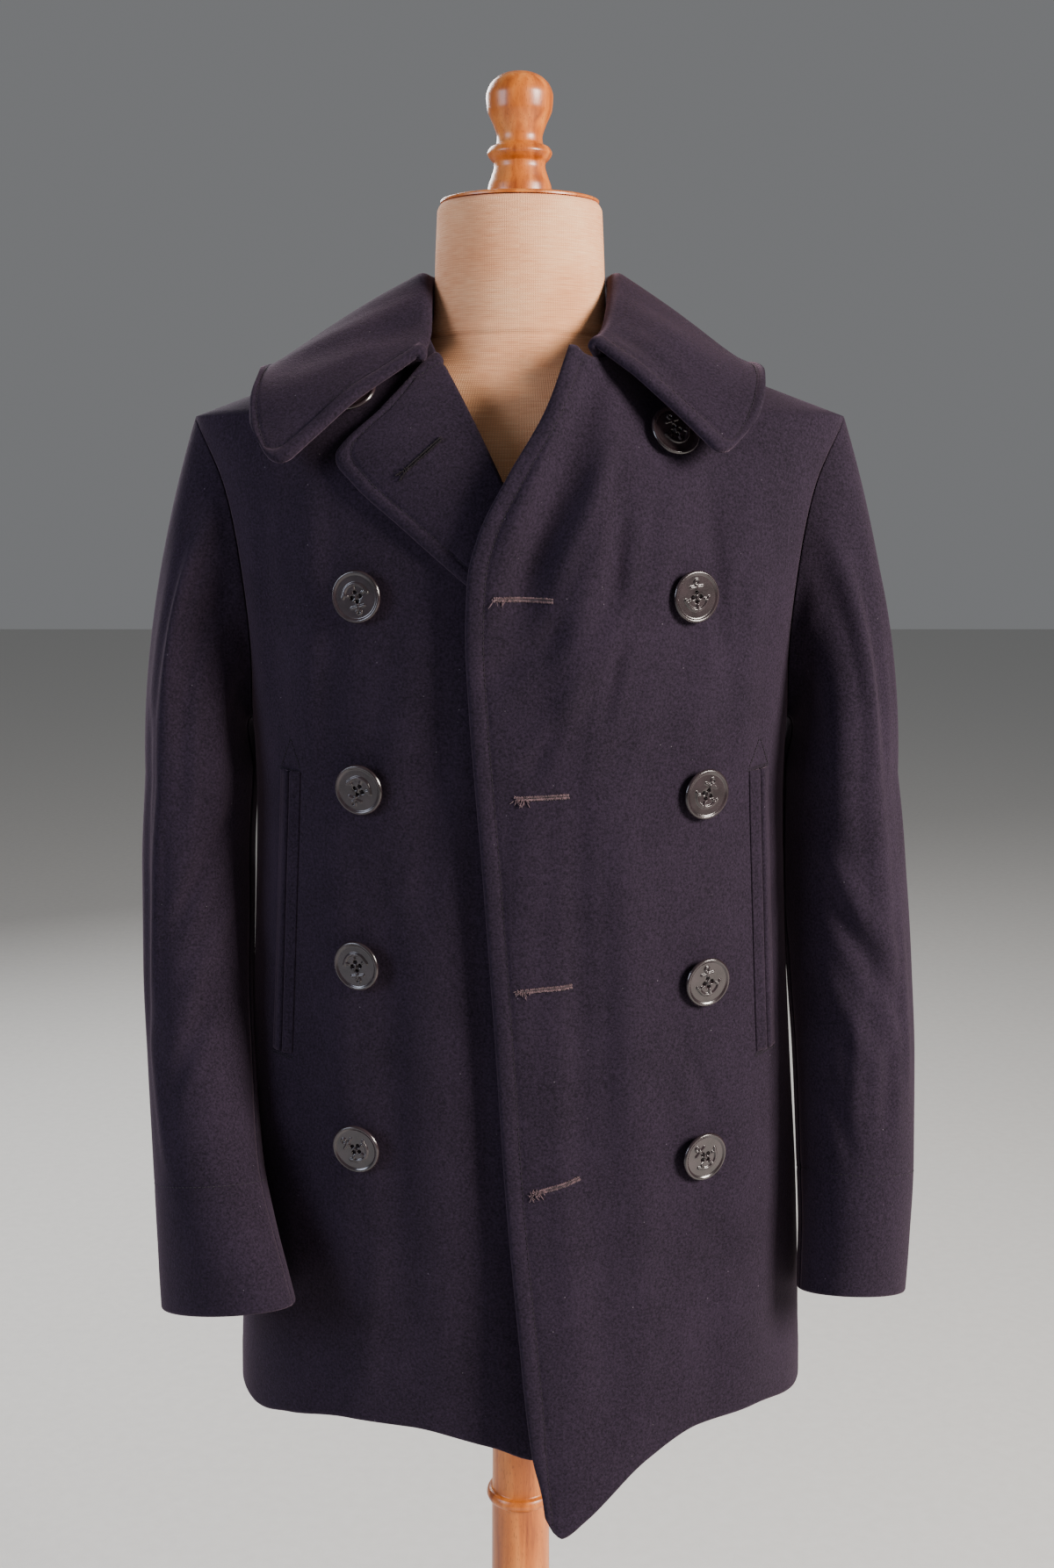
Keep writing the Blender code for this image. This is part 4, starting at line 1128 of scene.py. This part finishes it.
def sleeve_point(side, turn, along):
    """The sleeve's outer surface: along is -1 to 0 over the sleeve head, 0 to 1 down the arm."""
    table = SLEEVES["left" if side > 0 else "right"]
    top, bottom = table[0][0], table[-1][0]
    arm = outside_body(arm_point(side, turn, top + (bottom - top) * np.clip(along, 0, 1)), SLEEVE_CLEAR)
    start = armhole_point(side, turn)
    end = outside_body(arm_point(side, turn, top + 0 * turn), SLEEVE_CLEAR)
    reach = np.linalg.norm(end - start, axis=-1, keepdims=True)
    up = np.cos(turn)
    leave = np.stack([side * (0.75 - 0.47 * np.clip(up, 0, None)), -0.15 * np.sin(turn), -0.5 - 0.35 * up], -1)
    t = np.clip(along, -1, 0)[..., None] + 1
    head = (
        (2 * t**3 - 3 * t**2 + 1) * start
        + (t**3 - 2 * t**2 + t) * leave * reach
        + (3 * t**2 - 2 * t**3) * end
        + (t**3 - t**2) * np.array([0, 0, -1]) * reach
    )
    return np.where((along >= 0)[..., None], arm, head)


def sleeve(side):
    """A two-piece sleeve. Returns the stitches round its cuff."""
    label = "left" if side > 0 else "right"
    alongs = np.concatenate([-1 + crowded(34, low=1, share=0.03, extra=5)[:-1], crowded(84, high=1, share=0.012, extra=6)])
    gap = 0.0004
    front, back = SLEEVE_SEAMS
    creases = [
        (ARM_GIRTH_R * math.radians(t0), z0, ARM_GIRTH_R * math.radians(t1), z1, width, height)
        for t0, z0, t1, z1, width, height in SLEEVE_CREASES[label]
    ]
    stitches = []
    for part, first, last, count in (("top", back - 2 * math.pi + gap, front - gap, 76), ("under", front + gap, back - gap, 34)):
        turn, along = np.meshgrid(first + (last - first) * crowded(count), alongs)
        outer = sleeve_point(side, turn, along)
        normals = outward_normals(outer, np.array([side * 0.235, 0, 1.1]))
        around = ARM_GIRTH_R * np.where(turn < 0, turn + 2 * math.pi, turn)
        settle = ease(0.02, 0.16, along + 1)[..., None]
        folds = crease_height(creases, around, outer[..., 2]) + crease_height(creases, ARM_GIRTH_R * turn, outer[..., 2]) * (turn < 0)
        outer = outer + normals * folds[..., None] * settle
        from_head, from_cuff, from_front, from_back = rim_distances(outer)
        rounding = np.minimum.reduce(
            [seamed(from_head), from_cuff / EDGE_ROUND, seamed(from_front), seamed(from_back)]
        )
        groove = -0.0005 * np.exp(-(((from_cuff - CUFF_STITCH) / 0.0012) ** 2))
        surface, normals = cloth(
            f"sleeve_{part}_{label}", outer, CLOTH, rounding, groove + 0.4 * hem_swell(from_cuff), np.array([side * 0.235, 0, 1.1])
        )
        flipped = from_cuff[::-1].T
        stitches.append(
            stitch_row(*line_in(surface[::-1].swapaxes(0, 1), normals[::-1].swapaxes(0, 1), flipped, CUFF_STITCH))
        )
    return stitches


# ---- collar and lapel ---------------------------------------------------------------------


def collar_grid():
    """The collar's middle surface: rows along it, columns up the stand, over the fold, down the fall."""
    steps = 6 * crowded(64, high=1, share=0.05, extra=9)
    signed = np.concatenate([-steps[::-1], steps[1:]])
    falls = crowded(30, high=1, share=0.14, extra=12)[1:]
    tables = {label: [(k, *row) for k, row in enumerate(rows)] for label, rows in COLLAR.items()}

    def section(column, share):
        values = []
        for side, label in ((1, "left"), (-1, "right")):
            tip_stations, tip_share = COLLAR_TIP[label]
            turn = np.clip((share - 1 + tip_share) / tip_share, 0, 1)
            station = np.abs(signed) * (1 - tip_stations / 6 * (1 - math.sqrt(1 - turn**2)))
            found = np.stack([curve(tables[label], column + k, station) for k in range(3)], -1)
            values.append(found * [side, 1, 1])
        return np.where((signed >= 0)[:, None], values[0], values[1]), np.abs(signed)

    columns, shares = [], []
    stand, station = section(1, 0)
    fold, _ = section(4, 0)
    edge, _ = section(7, 0)
    away = unit((edge - fold) * [1, 1, 0])
    away[signed == 0] = (0, 1, 0)
    up = np.array([0, 0, 1.0])
    roll = (COLLAR_ROLL * (1 - 0.55 * ease(3.5, 6, station)))[:, None]
    slope = edge - fold
    last_turn = math.pi / 2 + np.arctan2(-slope[:, 2], np.hypot(slope[:, 0], slope[:, 1]))[:, None]
    for t in np.linspace(0, 1, 5)[:-1]:
        columns.append(stand + (fold - up * roll - stand) * t)
        shares.append(-1)
    for turn in (last_turn * k / 11 for k in range(12)):
        columns.append(fold - up * roll + away * roll * (1 - np.cos(turn)) + up * roll * np.sin(turn))
        shares.append(-0.5)
    clear = COLLAR_CLEAR + (COLLAR_FRONT_CLEAR - COLLAR_CLEAR) * ease(3, 5, station)
    fall, least = [], []
    for t in falls:
        fold_here, edge_here = section(4, t)[0], section(7, t)[0]
        away_here = unit((edge_here - fold_here) * [1, 1, 0])
        away_here[signed == 0] = (0, 1, 0)
        start = fold_here - up * roll + away_here * roll * (1 - np.cos(last_turn)) + up * roll * np.sin(last_turn)
        fall.append(start + (edge_here - start) * t + up * COLLAR_BOW * math.sin(math.pi * t))
        least.append(clear - COLLAR_SINK * (1 - ease(0, 0.30, t)))
        shares.append(t)
    fall = np.stack(fall, axis=1)
    push = outside_body(fall, np.stack(least, axis=1)) - fall
    grid = np.concatenate([np.stack(columns, axis=1), fall + smoothed(push, 14)], axis=1)
    around = signed[:, None] * COLLAR_STATION + 0 * grid[..., 0]
    down = np.array(shares)[None, :] * COLLAR_DEPTH + 0 * grid[..., 0]
    creases = [
        (a * COLLAR_STATION, b * COLLAR_DEPTH, c * COLLAR_STATION, d * COLLAR_DEPTH, width, height)
        for a, b, c, d, width, height in COLLAR_CREASES
    ]
    heights = crease_height(creases, around, down) * (down > 0)
    return grid, heights


def collar():
    """Both layers of the collar as one cloth. Returns its topstitching."""
    grid, heights = collar_grid()
    normals = grid_normals(grid)
    middle_row = len(grid) // 2
    if normals[middle_row, -1, 2] < 0:
        normals = -normals
    from_right, from_left, _, from_edge = rim_distances(grid)
    rim = np.minimum.reduce([from_right, from_left, from_edge])
    full = np.sqrt(1 - (1 - np.clip(rim / EDGE_ROUND, 0, 1)) ** 2)
    half = (COLLAR_CLOTH / 2 * np.maximum(full, 0.1))[..., None]
    swell = (edge_swell(rim, 0.0013, 0.0009) + heights)[..., None]
    top = grid + normals * (half + swell)
    vertices, faces = closed_shell(top, grid - normals * (half - heights[..., None]))
    made = add_object("cloth_collar", vertices, faces, MELTON, "melton_wool")
    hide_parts("collar")
    inside_ends = (from_right[:, -1] > STITCH_IN) & (from_left[:, -1] > STITCH_IN)
    flipped = from_edge[:, ::-1]
    points, lifts = line_in(top[inside_ends][:, ::-1], normals[inside_ends][:, ::-1], flipped[inside_ends], STITCH_IN)
    stitches = [stitch_row(points, lifts)]
    for rows, distance in ((slice(None), from_right), (slice(None, None, -1), from_left)):
        sub = slice(17, None)
        across = distance[rows, sub].T
        end_points, end_lifts = line_in(
            top[rows, sub].swapaxes(0, 1), normals[rows, sub].swapaxes(0, 1), across, STITCH_IN
        )
        keep = from_edge[0, sub][: len(end_points)] > STITCH_IN
        stitches.append(stitch_row(end_points[keep], end_lifts[keep]))
    return stitches


def lapel():
    """The right front's lapel, rolled back over it. Returns its topstitching."""
    table = [(k, *row) for k, row in enumerate(LAPEL)]
    at = (len(LAPEL) - 1) * crowded(86, high=1, share=0.03, extra=6)[:, None]
    shares = crowded(26, high=1, share=0.25, extra=14)[None, :]
    # the corner between the lapel's edge and its notch is rounded
    roll_x, roll_z, edge_x, edge_z = (curve(table, k, at) for k in range(1, 5))
    x = roll_x + (edge_x - roll_x) * shares
    z = roll_z + (edge_z - roll_z) * shares
    lift = LAPEL_LIFT + LAPEL_CLOTH + 0.0024 * np.sin(np.pi * shares) + 0 * x
    flat, normals = on_front(-1, x, z, lift)
    inward = unit(flat[:, :1] - flat[:, 1:2])
    arcs = []
    for turn in np.radians(np.linspace(150, 15, 9)):
        arcs.append(
            flat[:, :1] + inward * LAPEL_ROLL * math.sin(turn) - normals[:, :1] * LAPEL_ROLL * (1 - math.cos(turn))
        )
    grid = np.concatenate([*arcs, flat], axis=1)
    from_low, from_high, _, from_edge = rim_distances(grid)
    rim = np.minimum(from_edge, from_high)
    rounding = np.minimum(rim / EDGE_ROUND, from_low / EDGE_ROUND)
    surface, lifts = cloth("lapel_right", grid, LAPEL_CLOTH, rounding, edge_swell(rim, 0.0012, 0.0008), np.array([0, 0.5, 1.3]))
    flipped = from_edge[:, ::-1]
    inside = from_high[:, -1] > STITCH_IN
    points, line_lifts = line_in(surface[inside][:, ::-1], lifts[inside][:, ::-1], flipped[inside], STITCH_IN)
    top_points, top_lifts = line_in(
        surface[::-1].swapaxes(0, 1), lifts[::-1].swapaxes(0, 1), from_high[::-1].T, STITCH_IN
    )
    return [stitch_row(points, line_lifts), stitch_row(top_points, top_lifts)]


# ---- pockets, buttonholes and buttons -----------------------------------------------------


def welts(side):
    """A pocket's two welts. Returns the stitching of its bars and arrowhead."""
    label = "left" if side > 0 else "right"
    top_x, bottom_x = POCKETS[label]
    down = crowded(70)[:, None]
    z = POCKET_TOP_Z + (POCKET_BOTTOM_Z - POCKET_TOP_Z) * down
    middle = top_x + (bottom_x - top_x) * down
    for part, low, high in (("front", 0.0003, WELT_WIDTH), ("back", -WELT_WIDTH, -0.0003)):
        across = np.linspace(0, 1, 11)[None, :]
        x = middle - side * (low + (high - low) * across)
        # each welt is fullest at the slit and dies away into the front
        from_slit = across if part == "front" else 1 - across
        crown = np.sqrt(np.clip(from_slit / 0.12, 0.05, 1)) * (1 - 0.80 * ease(0.25, 1.0, from_slit))
        outer, normals = on_front(side, x, z, 0.0004 + WELT_CLOTH * crown)
        inner, _ = on_front(side, x, z, -0.0004)
        vertices, faces = closed_shell(outer, inner)
        made = add_object(f"welt_cloth_{part}_{label}", vertices, faces, MELTON, "melton_wool")
        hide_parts(f"welt_{part}_{label}")
    lines = []
    for level, foot_x in ((POCKET_TOP_Z + 0.0015, top_x), (POCKET_BOTTOM_Z - 0.0015, bottom_x)):
        for step in (0.0, 0.0016):
            lines.append(((foot_x - BAR, level - step), (foot_x + BAR, level - step + 0.001 * side)))
    apex = (top_x + 0.0005, POCKET_TOP_Z + ARROW)
    for way in (-1, 1):
        lines.append(((top_x + way * BAR * 0.85, POCKET_TOP_Z + 0.003), apex))
    stitches = []
    for (x0, z0), (x1, z1) in lines:
        t = np.linspace(0, 1, 24)
        points, normals = on_front(side, x0 + (x1 - x0) * t, z0 + (z1 - z0) * t, 0.0002)
        stitches.append(stitch_row(points, normals, pitch=0.0021, radius=0.00034))
    return stitches


def worked_hole(place, rng, fray, reach=0.0017, keyhole=0.0):
    """A hand-worked buttonhole: purl stitches down both sides of the slit. place turns
    distances along and across the slit into points and normals."""
    length = place.length
    parts = []
    for side in (-1, 1):
        at = np.arange(0, length, 0.00074) + rng.uniform(-0.00012, 0.00012, len(np.arange(0, length, 0.00074)))
        kept = rng.uniform(0, 1, len(at)) > fray * (1 - ease(0.0, 0.30 * length, at))
        at = at[kept]
        bulge = keyhole * np.exp(-((at / 0.003) ** 2))
        inside = side * (0.00035 + bulge)
        outside = side * (reach + bulge + rng.uniform(-0.0002, 0.0002, len(at)))
        starts, normals = place(at, inside)
        ends, _ = place(at + rng.uniform(-0.0002, 0.0002, len(at)), outside)
        parts.append(rods(starts, ends, normals, 0.00040, arch=0.00055))
        line = np.linspace(0.002 * fray, length, 40)
        cord, lifts = place(line, side * (0.00055 + keyhole * np.exp(-((line / 0.003) ** 2))))
        parts.append(rods(cord[:-1], cord[1:], lifts[:-1], 0.00050, stations=(0, 0.5, 1)))
    loose = int(round(5 + 16 * fray))
    at = rng.uniform(-0.0012, 0.010, loose)
    starts, normals = place(at, rng.uniform(-0.0014, 0.0010, loose))
    ends, _ = place(at + rng.uniform(-0.0035, 0.0025, loose), rng.uniform(-0.0062, 0.0030, loose))
    parts.append(rods(starts, ends, normals, 0.00027, arch=rng.uniform(0.0004, 0.0016, loose)))
    return parts


class Slit:
    """Distances along and across a slit in a front, as points on the cloth."""

    def __init__(self, side, x0, z0, x1, z1, lift):
        self.side, self.start, self.lift = side, np.array([x0, z0]), lift
        self.length = math.hypot(x1 - x0, z1 - z0)
        self.way = np.array([x1 - x0, z1 - z0]) / self.length

    def __call__(self, along, across):
        x = self.start[0] + self.way[0] * along - self.way[1] * across
        z = self.start[1] + self.way[1] * along + self.way[0] * across
        return on_front(self.side, x, z, self.lift)


def buttonholes():
    rng = np.random.default_rng(7)
    parts = []
    for x0, z0, x1, z1, fray in BUTTONHOLES:
        parts += worked_hole(Slit(1, x0, z0, x1, z1, 0.0002), rng, fray)
    add_object("buttonhole_stitches", *joined(parts), TWIST)
    lapel_lift = LAPEL_LIFT + LAPEL_CLOTH + 0.0026
    parts = worked_hole(Slit(-1, *LAPEL_HOLE, lapel_lift), rng, 0.05, reach=0.0012, keyhole=0.0012)
    add_object("lapel_hole_stitches", *joined(parts), DARK_TWIST)


def capsule(x, z, x0, z0, x1, z1):
    """Distance from points to a segment."""
    t = np.clip(((x - x0) * (x1 - x0) + (z - z0) * (z1 - z0)) / ((x1 - x0) ** 2 + (z1 - z0) ** 2), 0, 1)
    return np.hypot(x - x0 - (x1 - x0) * t, z - z0 - (z1 - z0) * t)


def anchor_relief(x, y):
    """Height of a plain anchor on a button's face: ring, stock, shank, arms and flukes."""
    shank = capsule(x, y, 0, 0.0078, 0, -0.0080) - 0.00075
    stock = capsule(x, y, -0.0046, 0.0066, 0.0046, 0.0066) - 0.00065
    ring = np.abs(np.hypot(x, y - 0.0098) - 0.0016) - 0.00045
    bow = np.hypot(x, y + 0.0005)
    angle = np.degrees(np.arctan2(x, -(y + 0.0005)))
    arms = np.where(np.abs(angle) < 66, np.abs(bow - 0.0080) - 0.0009, 1.0)
    flukes = np.minimum(
        capsule(np.abs(x), y, 0.0070, -0.0042, 0.0088, -0.0012) - 0.0009,
        capsule(np.abs(x), y, 0.0076, -0.0030, 0.0056, -0.0018) - 0.0007,
    )
    distance = np.minimum.reduce([shank, stock, ring, arms, flukes])
    return 0.0010 * (1 - ease(-0.0003, 0.0003, distance))


def button_mesh():
    """One moulded button, face up: raised rim, dished face, anchor and four holes in a diamond."""
    count = 96
    line = np.linspace(-1, 1, count)
    a, b = np.meshgrid(line, line)
    # squares to circles, so that the relief has even cells
    u, v = a * np.sqrt(1 - b**2 / 2), b * np.sqrt(1 - a**2 / 2)
    radius = np.hypot(u, v)
    x, y = u * BUTTON_R, v * BUTTON_R
    dish = 0.0012 + 0.0008 * ease(0.80, 0.90, radius) - 0.0003 * ease(0.30, 0.0, radius)
    face = dish + anchor_relief(x, y)
    well = np.ones_like(x)
    for k in range(4):
        turn = k * math.pi / 2
        distance = np.hypot(x - HOLE_OUT * math.cos(turn), y - HOLE_OUT * math.sin(turn))
        well = np.minimum(well, ease(HOLE_R * 0.75, HOLE_R * 1.15, distance))
    face = np.where(well < 1, -0.0016 + (face + 0.0016) * well, face)
    rim_drop = 0.0014 * np.clip((radius - 0.93) / 0.07, 0, 1) ** 2
    top = np.stack([x, y, face - rim_drop], -1)
    under = -0.0022 + 0.0022 * np.clip((radius - 0.80) / 0.20, 0, 1) ** 1.6
    bottom = np.stack([x * (1 - 0.02 * radius), y * (1 - 0.02 * radius), under], -1)
    vertices, faces = closed_shell(top, bottom)
    mesh = bpy.data.meshes.new("moulded_button")
    mesh.from_pydata(vertices.tolist(), [], faces.tolist())
    mesh.materials.append(UREA)
    mesh.shade_smooth()
    return mesh


def buttons():
    """Ten buttons, each with its own spin and lean, and the thread that holds them."""
    mesh = button_mesh()
    threads = []
    for name, side, x, z, droop, swing, spin in BUTTONS:
        angle = side * angle_at_x(x, z)
        here = body_point("front", side, angle, np.array(z), creased=False)
        step = 1e-3
        around = body_point("front", side, angle + step, np.array(z), False) - body_point(
            "front", side, angle - step, np.array(z), False
        )
        upward = body_point("front", side, angle, np.array(z + step), False) - body_point(
            "front", side, angle, np.array(z - step), False
        )
        normal = unit(np.cross(around, upward))
        normal = Vector(normal if normal[1] < 0 else -normal)
        facing = normal.to_track_quat("Z", "Y").to_matrix().to_4x4()
        tilt = Matrix.Rotation(math.radians(droop), 4, "X") @ Matrix.Rotation(math.radians(swing), 4, "Z")
        place = Matrix.Translation(Vector(here) + normal * BUTTON_STANDOFF) @ tilt @ facing
        made = bpy.data.objects.new(f"moulded_{name}", mesh)
        made.matrix_world = place @ Matrix.Rotation(math.radians(spin), 4, "Z")
        bpy.context.scene.collection.objects.link(made)
        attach(made, "root")
        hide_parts(name)
        threads += button_thread(place @ Matrix.Rotation(math.radians(spin), 4, "Z"))
    return add_object("button_threads", *joined(threads), DARK_TWIST)


def button_thread(place):
    """Two crossed passes over a button's face and the wrapped shank under it."""
    placed = np.array(place)

    def moved(points):
        return np.asarray(points) @ placed[:3, :3].T + placed[:3, 3]

    up = np.tile(placed[:3, 2], (8, 1))
    starts, ends = [], []
    for turn in (0, math.pi / 2):
        for offset in (-0.00035, 0.0, 0.00035, 0.00018):
            out, across = np.array([math.cos(turn), math.sin(turn)]), np.array([-math.sin(turn), math.cos(turn)])
            starts.append([*(out * HOLE_OUT + across * offset), 0.0003])
            ends.append([*(-out * HOLE_OUT + across * offset), 0.0003])
    over = rods(moved(starts), moved(ends), up, 0.00022, arch=0.0008)
    shank = []
    for level in np.arange(-0.0058, -0.0020, 0.00055):
        corners = 0.0016 * np.array([[math.cos(k * math.pi / 4), math.sin(k * math.pi / 4), 0] for k in range(9)])
        ring = moved(corners + [0, 0, level])
        shank.append(rods(ring[:-1], ring[1:], up, 0.00036, stations=(0, 0.5, 1)))
    return [over, *shank]


# ---- dress form ---------------------------------------------------------------------------


def dress_form():
    """The linen-covered bust, with the neck's seam and the small puckers under it."""
    segments = 128
    heights = np.concatenate([np.linspace(BUST[0][0], 1.34, 60, endpoint=False), np.linspace(1.34, NECK_TOP_Z, 130)])
    turn, z = np.meshgrid(2 * np.pi * np.arange(segments) / segments, heights)
    width, front, back = (curve(BUST, k, z) for k in (1, 2, 3))
    seam = -0.0008 * np.exp(-(((z - NECK_SEAM_Z) / 0.0012) ** 2)) + 0.0006 * np.exp(
        -(((z - NECK_SEAM_Z - 0.004) / 0.003) ** 2)
    )
    pucker = 0.0005 * np.sin(9 * turn + 0.7) * np.sin(4 * turn) * np.exp(-(((z - NECK_SEAM_Z + 0.012) / 0.012) ** 2))
    side_seam = -0.0006 * np.exp(-((np.cos(turn) / 0.02) ** 2))
    # the linen turns over the top of the neck
    top = 1 - 0.05 * np.clip((z - NECK_TOP_Z + 0.006) / 0.006, 0, 1) ** 2
    grow = seam + pucker + side_seam
    x = (width * top + grow) * np.sin(turn)
    forward = -np.cos(turn)
    y = forward * (np.where(forward < 0, front, back) * top + grow)
    points = np.stack([x, y, z], -1)
    index = np.arange(points[..., 0].size).reshape(z.shape)
    around = np.roll(index, -1, axis=1)
    quads = np.stack([index[:-1], around[:-1], around[1:], index[1:]], -1).reshape(-1, 4)
    faces = [*quads.tolist(), index[0][::-1].tolist(), index[-1].tolist()]
    mesh = bpy.data.meshes.new("dress_form")
    mesh.from_pydata(points.reshape(-1, 3).tolist(), [], faces)
    mesh.materials.append(LINEN)
    mesh.shade_smooth()
    made = bpy.data.objects.new("dress_form", mesh)
    bpy.context.scene.collection.objects.link(made)
    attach(made, "root")
    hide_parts("bust")


def stand():
    low = NECK_TOP_Z + 0.0006
    cap = (
        (0.0, CAP_TOP_Z),
        (CAP_R - 0.008, CAP_TOP_Z),
        (CAP_R - 0.004, CAP_TOP_Z - 0.0006),
        (CAP_R - 0.002, CAP_TOP_Z - 0.0018),
        (CAP_R - 0.002, low),
        (0.0, low),
    )
    turned("form_neck_cap", cap, BEECH, ["neck_cap"])
    turned("form_finial", FINIAL, BEECH, ["finial"])
    turned("form_post", POST, BEECH, ["post"])
    turned("form_base", BASE, BEECH, ["base"], segments=160)


# ---- studio -------------------------------------------------------------------------------


def area_light(name, place, target, size, power, colour="#ffffff"):
    light = bpy.data.lights.new(name, "AREA")
    light.shape = "SQUARE"
    light.size = size
    light.energy = power
    light.color = linear(colour)[:3]
    made = bpy.data.objects.new(name, light)
    made.location = place
    made.rotation_euler = (Vector(target) - Vector(place)).to_track_quat("-Z", "Y").to_euler()
    bpy.context.scene.collection.objects.link(made)


def studio():
    """A pale floor, a large soft window light from the right, weak fill, and the camera."""
    mesh = bpy.data.meshes.new("studio_floor")
    reach = 14.0
    mesh.from_pydata([(-reach, -reach, 0), (reach, -reach, 0), (reach, reach, 0), (-reach, reach, 0)], [], [(0, 1, 2, 3)])
    mesh.materials.append(matt_paint())
    floor = bpy.data.objects.new("studio_floor", mesh)
    bpy.context.scene.collection.objects.link(floor)
    world = bpy.data.worlds.new("studio_world")
    world.use_nodes = True
    sky = world.node_tree.nodes["Background"]
    sky.inputs["Color"].default_value = linear("#dfe1e4")
    sky.inputs["Strength"].default_value = 0.24
    bpy.context.scene.world = world
    middle = (0, 0, 1.15)
    area_light("window_light", (2.6, -1.5, 2.2), middle, 1.1, 265, "#fff6ec")
    area_light("fill_light", (-2.7, -1.5, 1.9), middle, 1.4, 62, "#e4ebff")
    area_light("back_light", (-1.4, 2.6, 2.6), middle, 1.4, 90)
    camera = bpy.data.cameras.new("camera")
    camera.sensor_fit = "VERTICAL"
    camera.sensor_height = 36
    camera.lens = 41.72
    made = bpy.data.objects.new("camera", camera)
    made.location = (0.005, -1.30, 1.32)
    made.rotation_euler = (math.radians(90 - 9.8), 0, 0)
    bpy.context.scene.collection.objects.link(made)
    bpy.context.scene.camera = made


# ---- assembly -----------------------------------------------------------------------------

dress_form()
stitching = panels()
for way in (1, -1):
    stitching += sleeve(way) + welts(way)
stitching += collar() + lapel()
add_object("seam_stitches", *joined(stitching), THREAD)
buttonholes()
buttons()
stand()
studio()
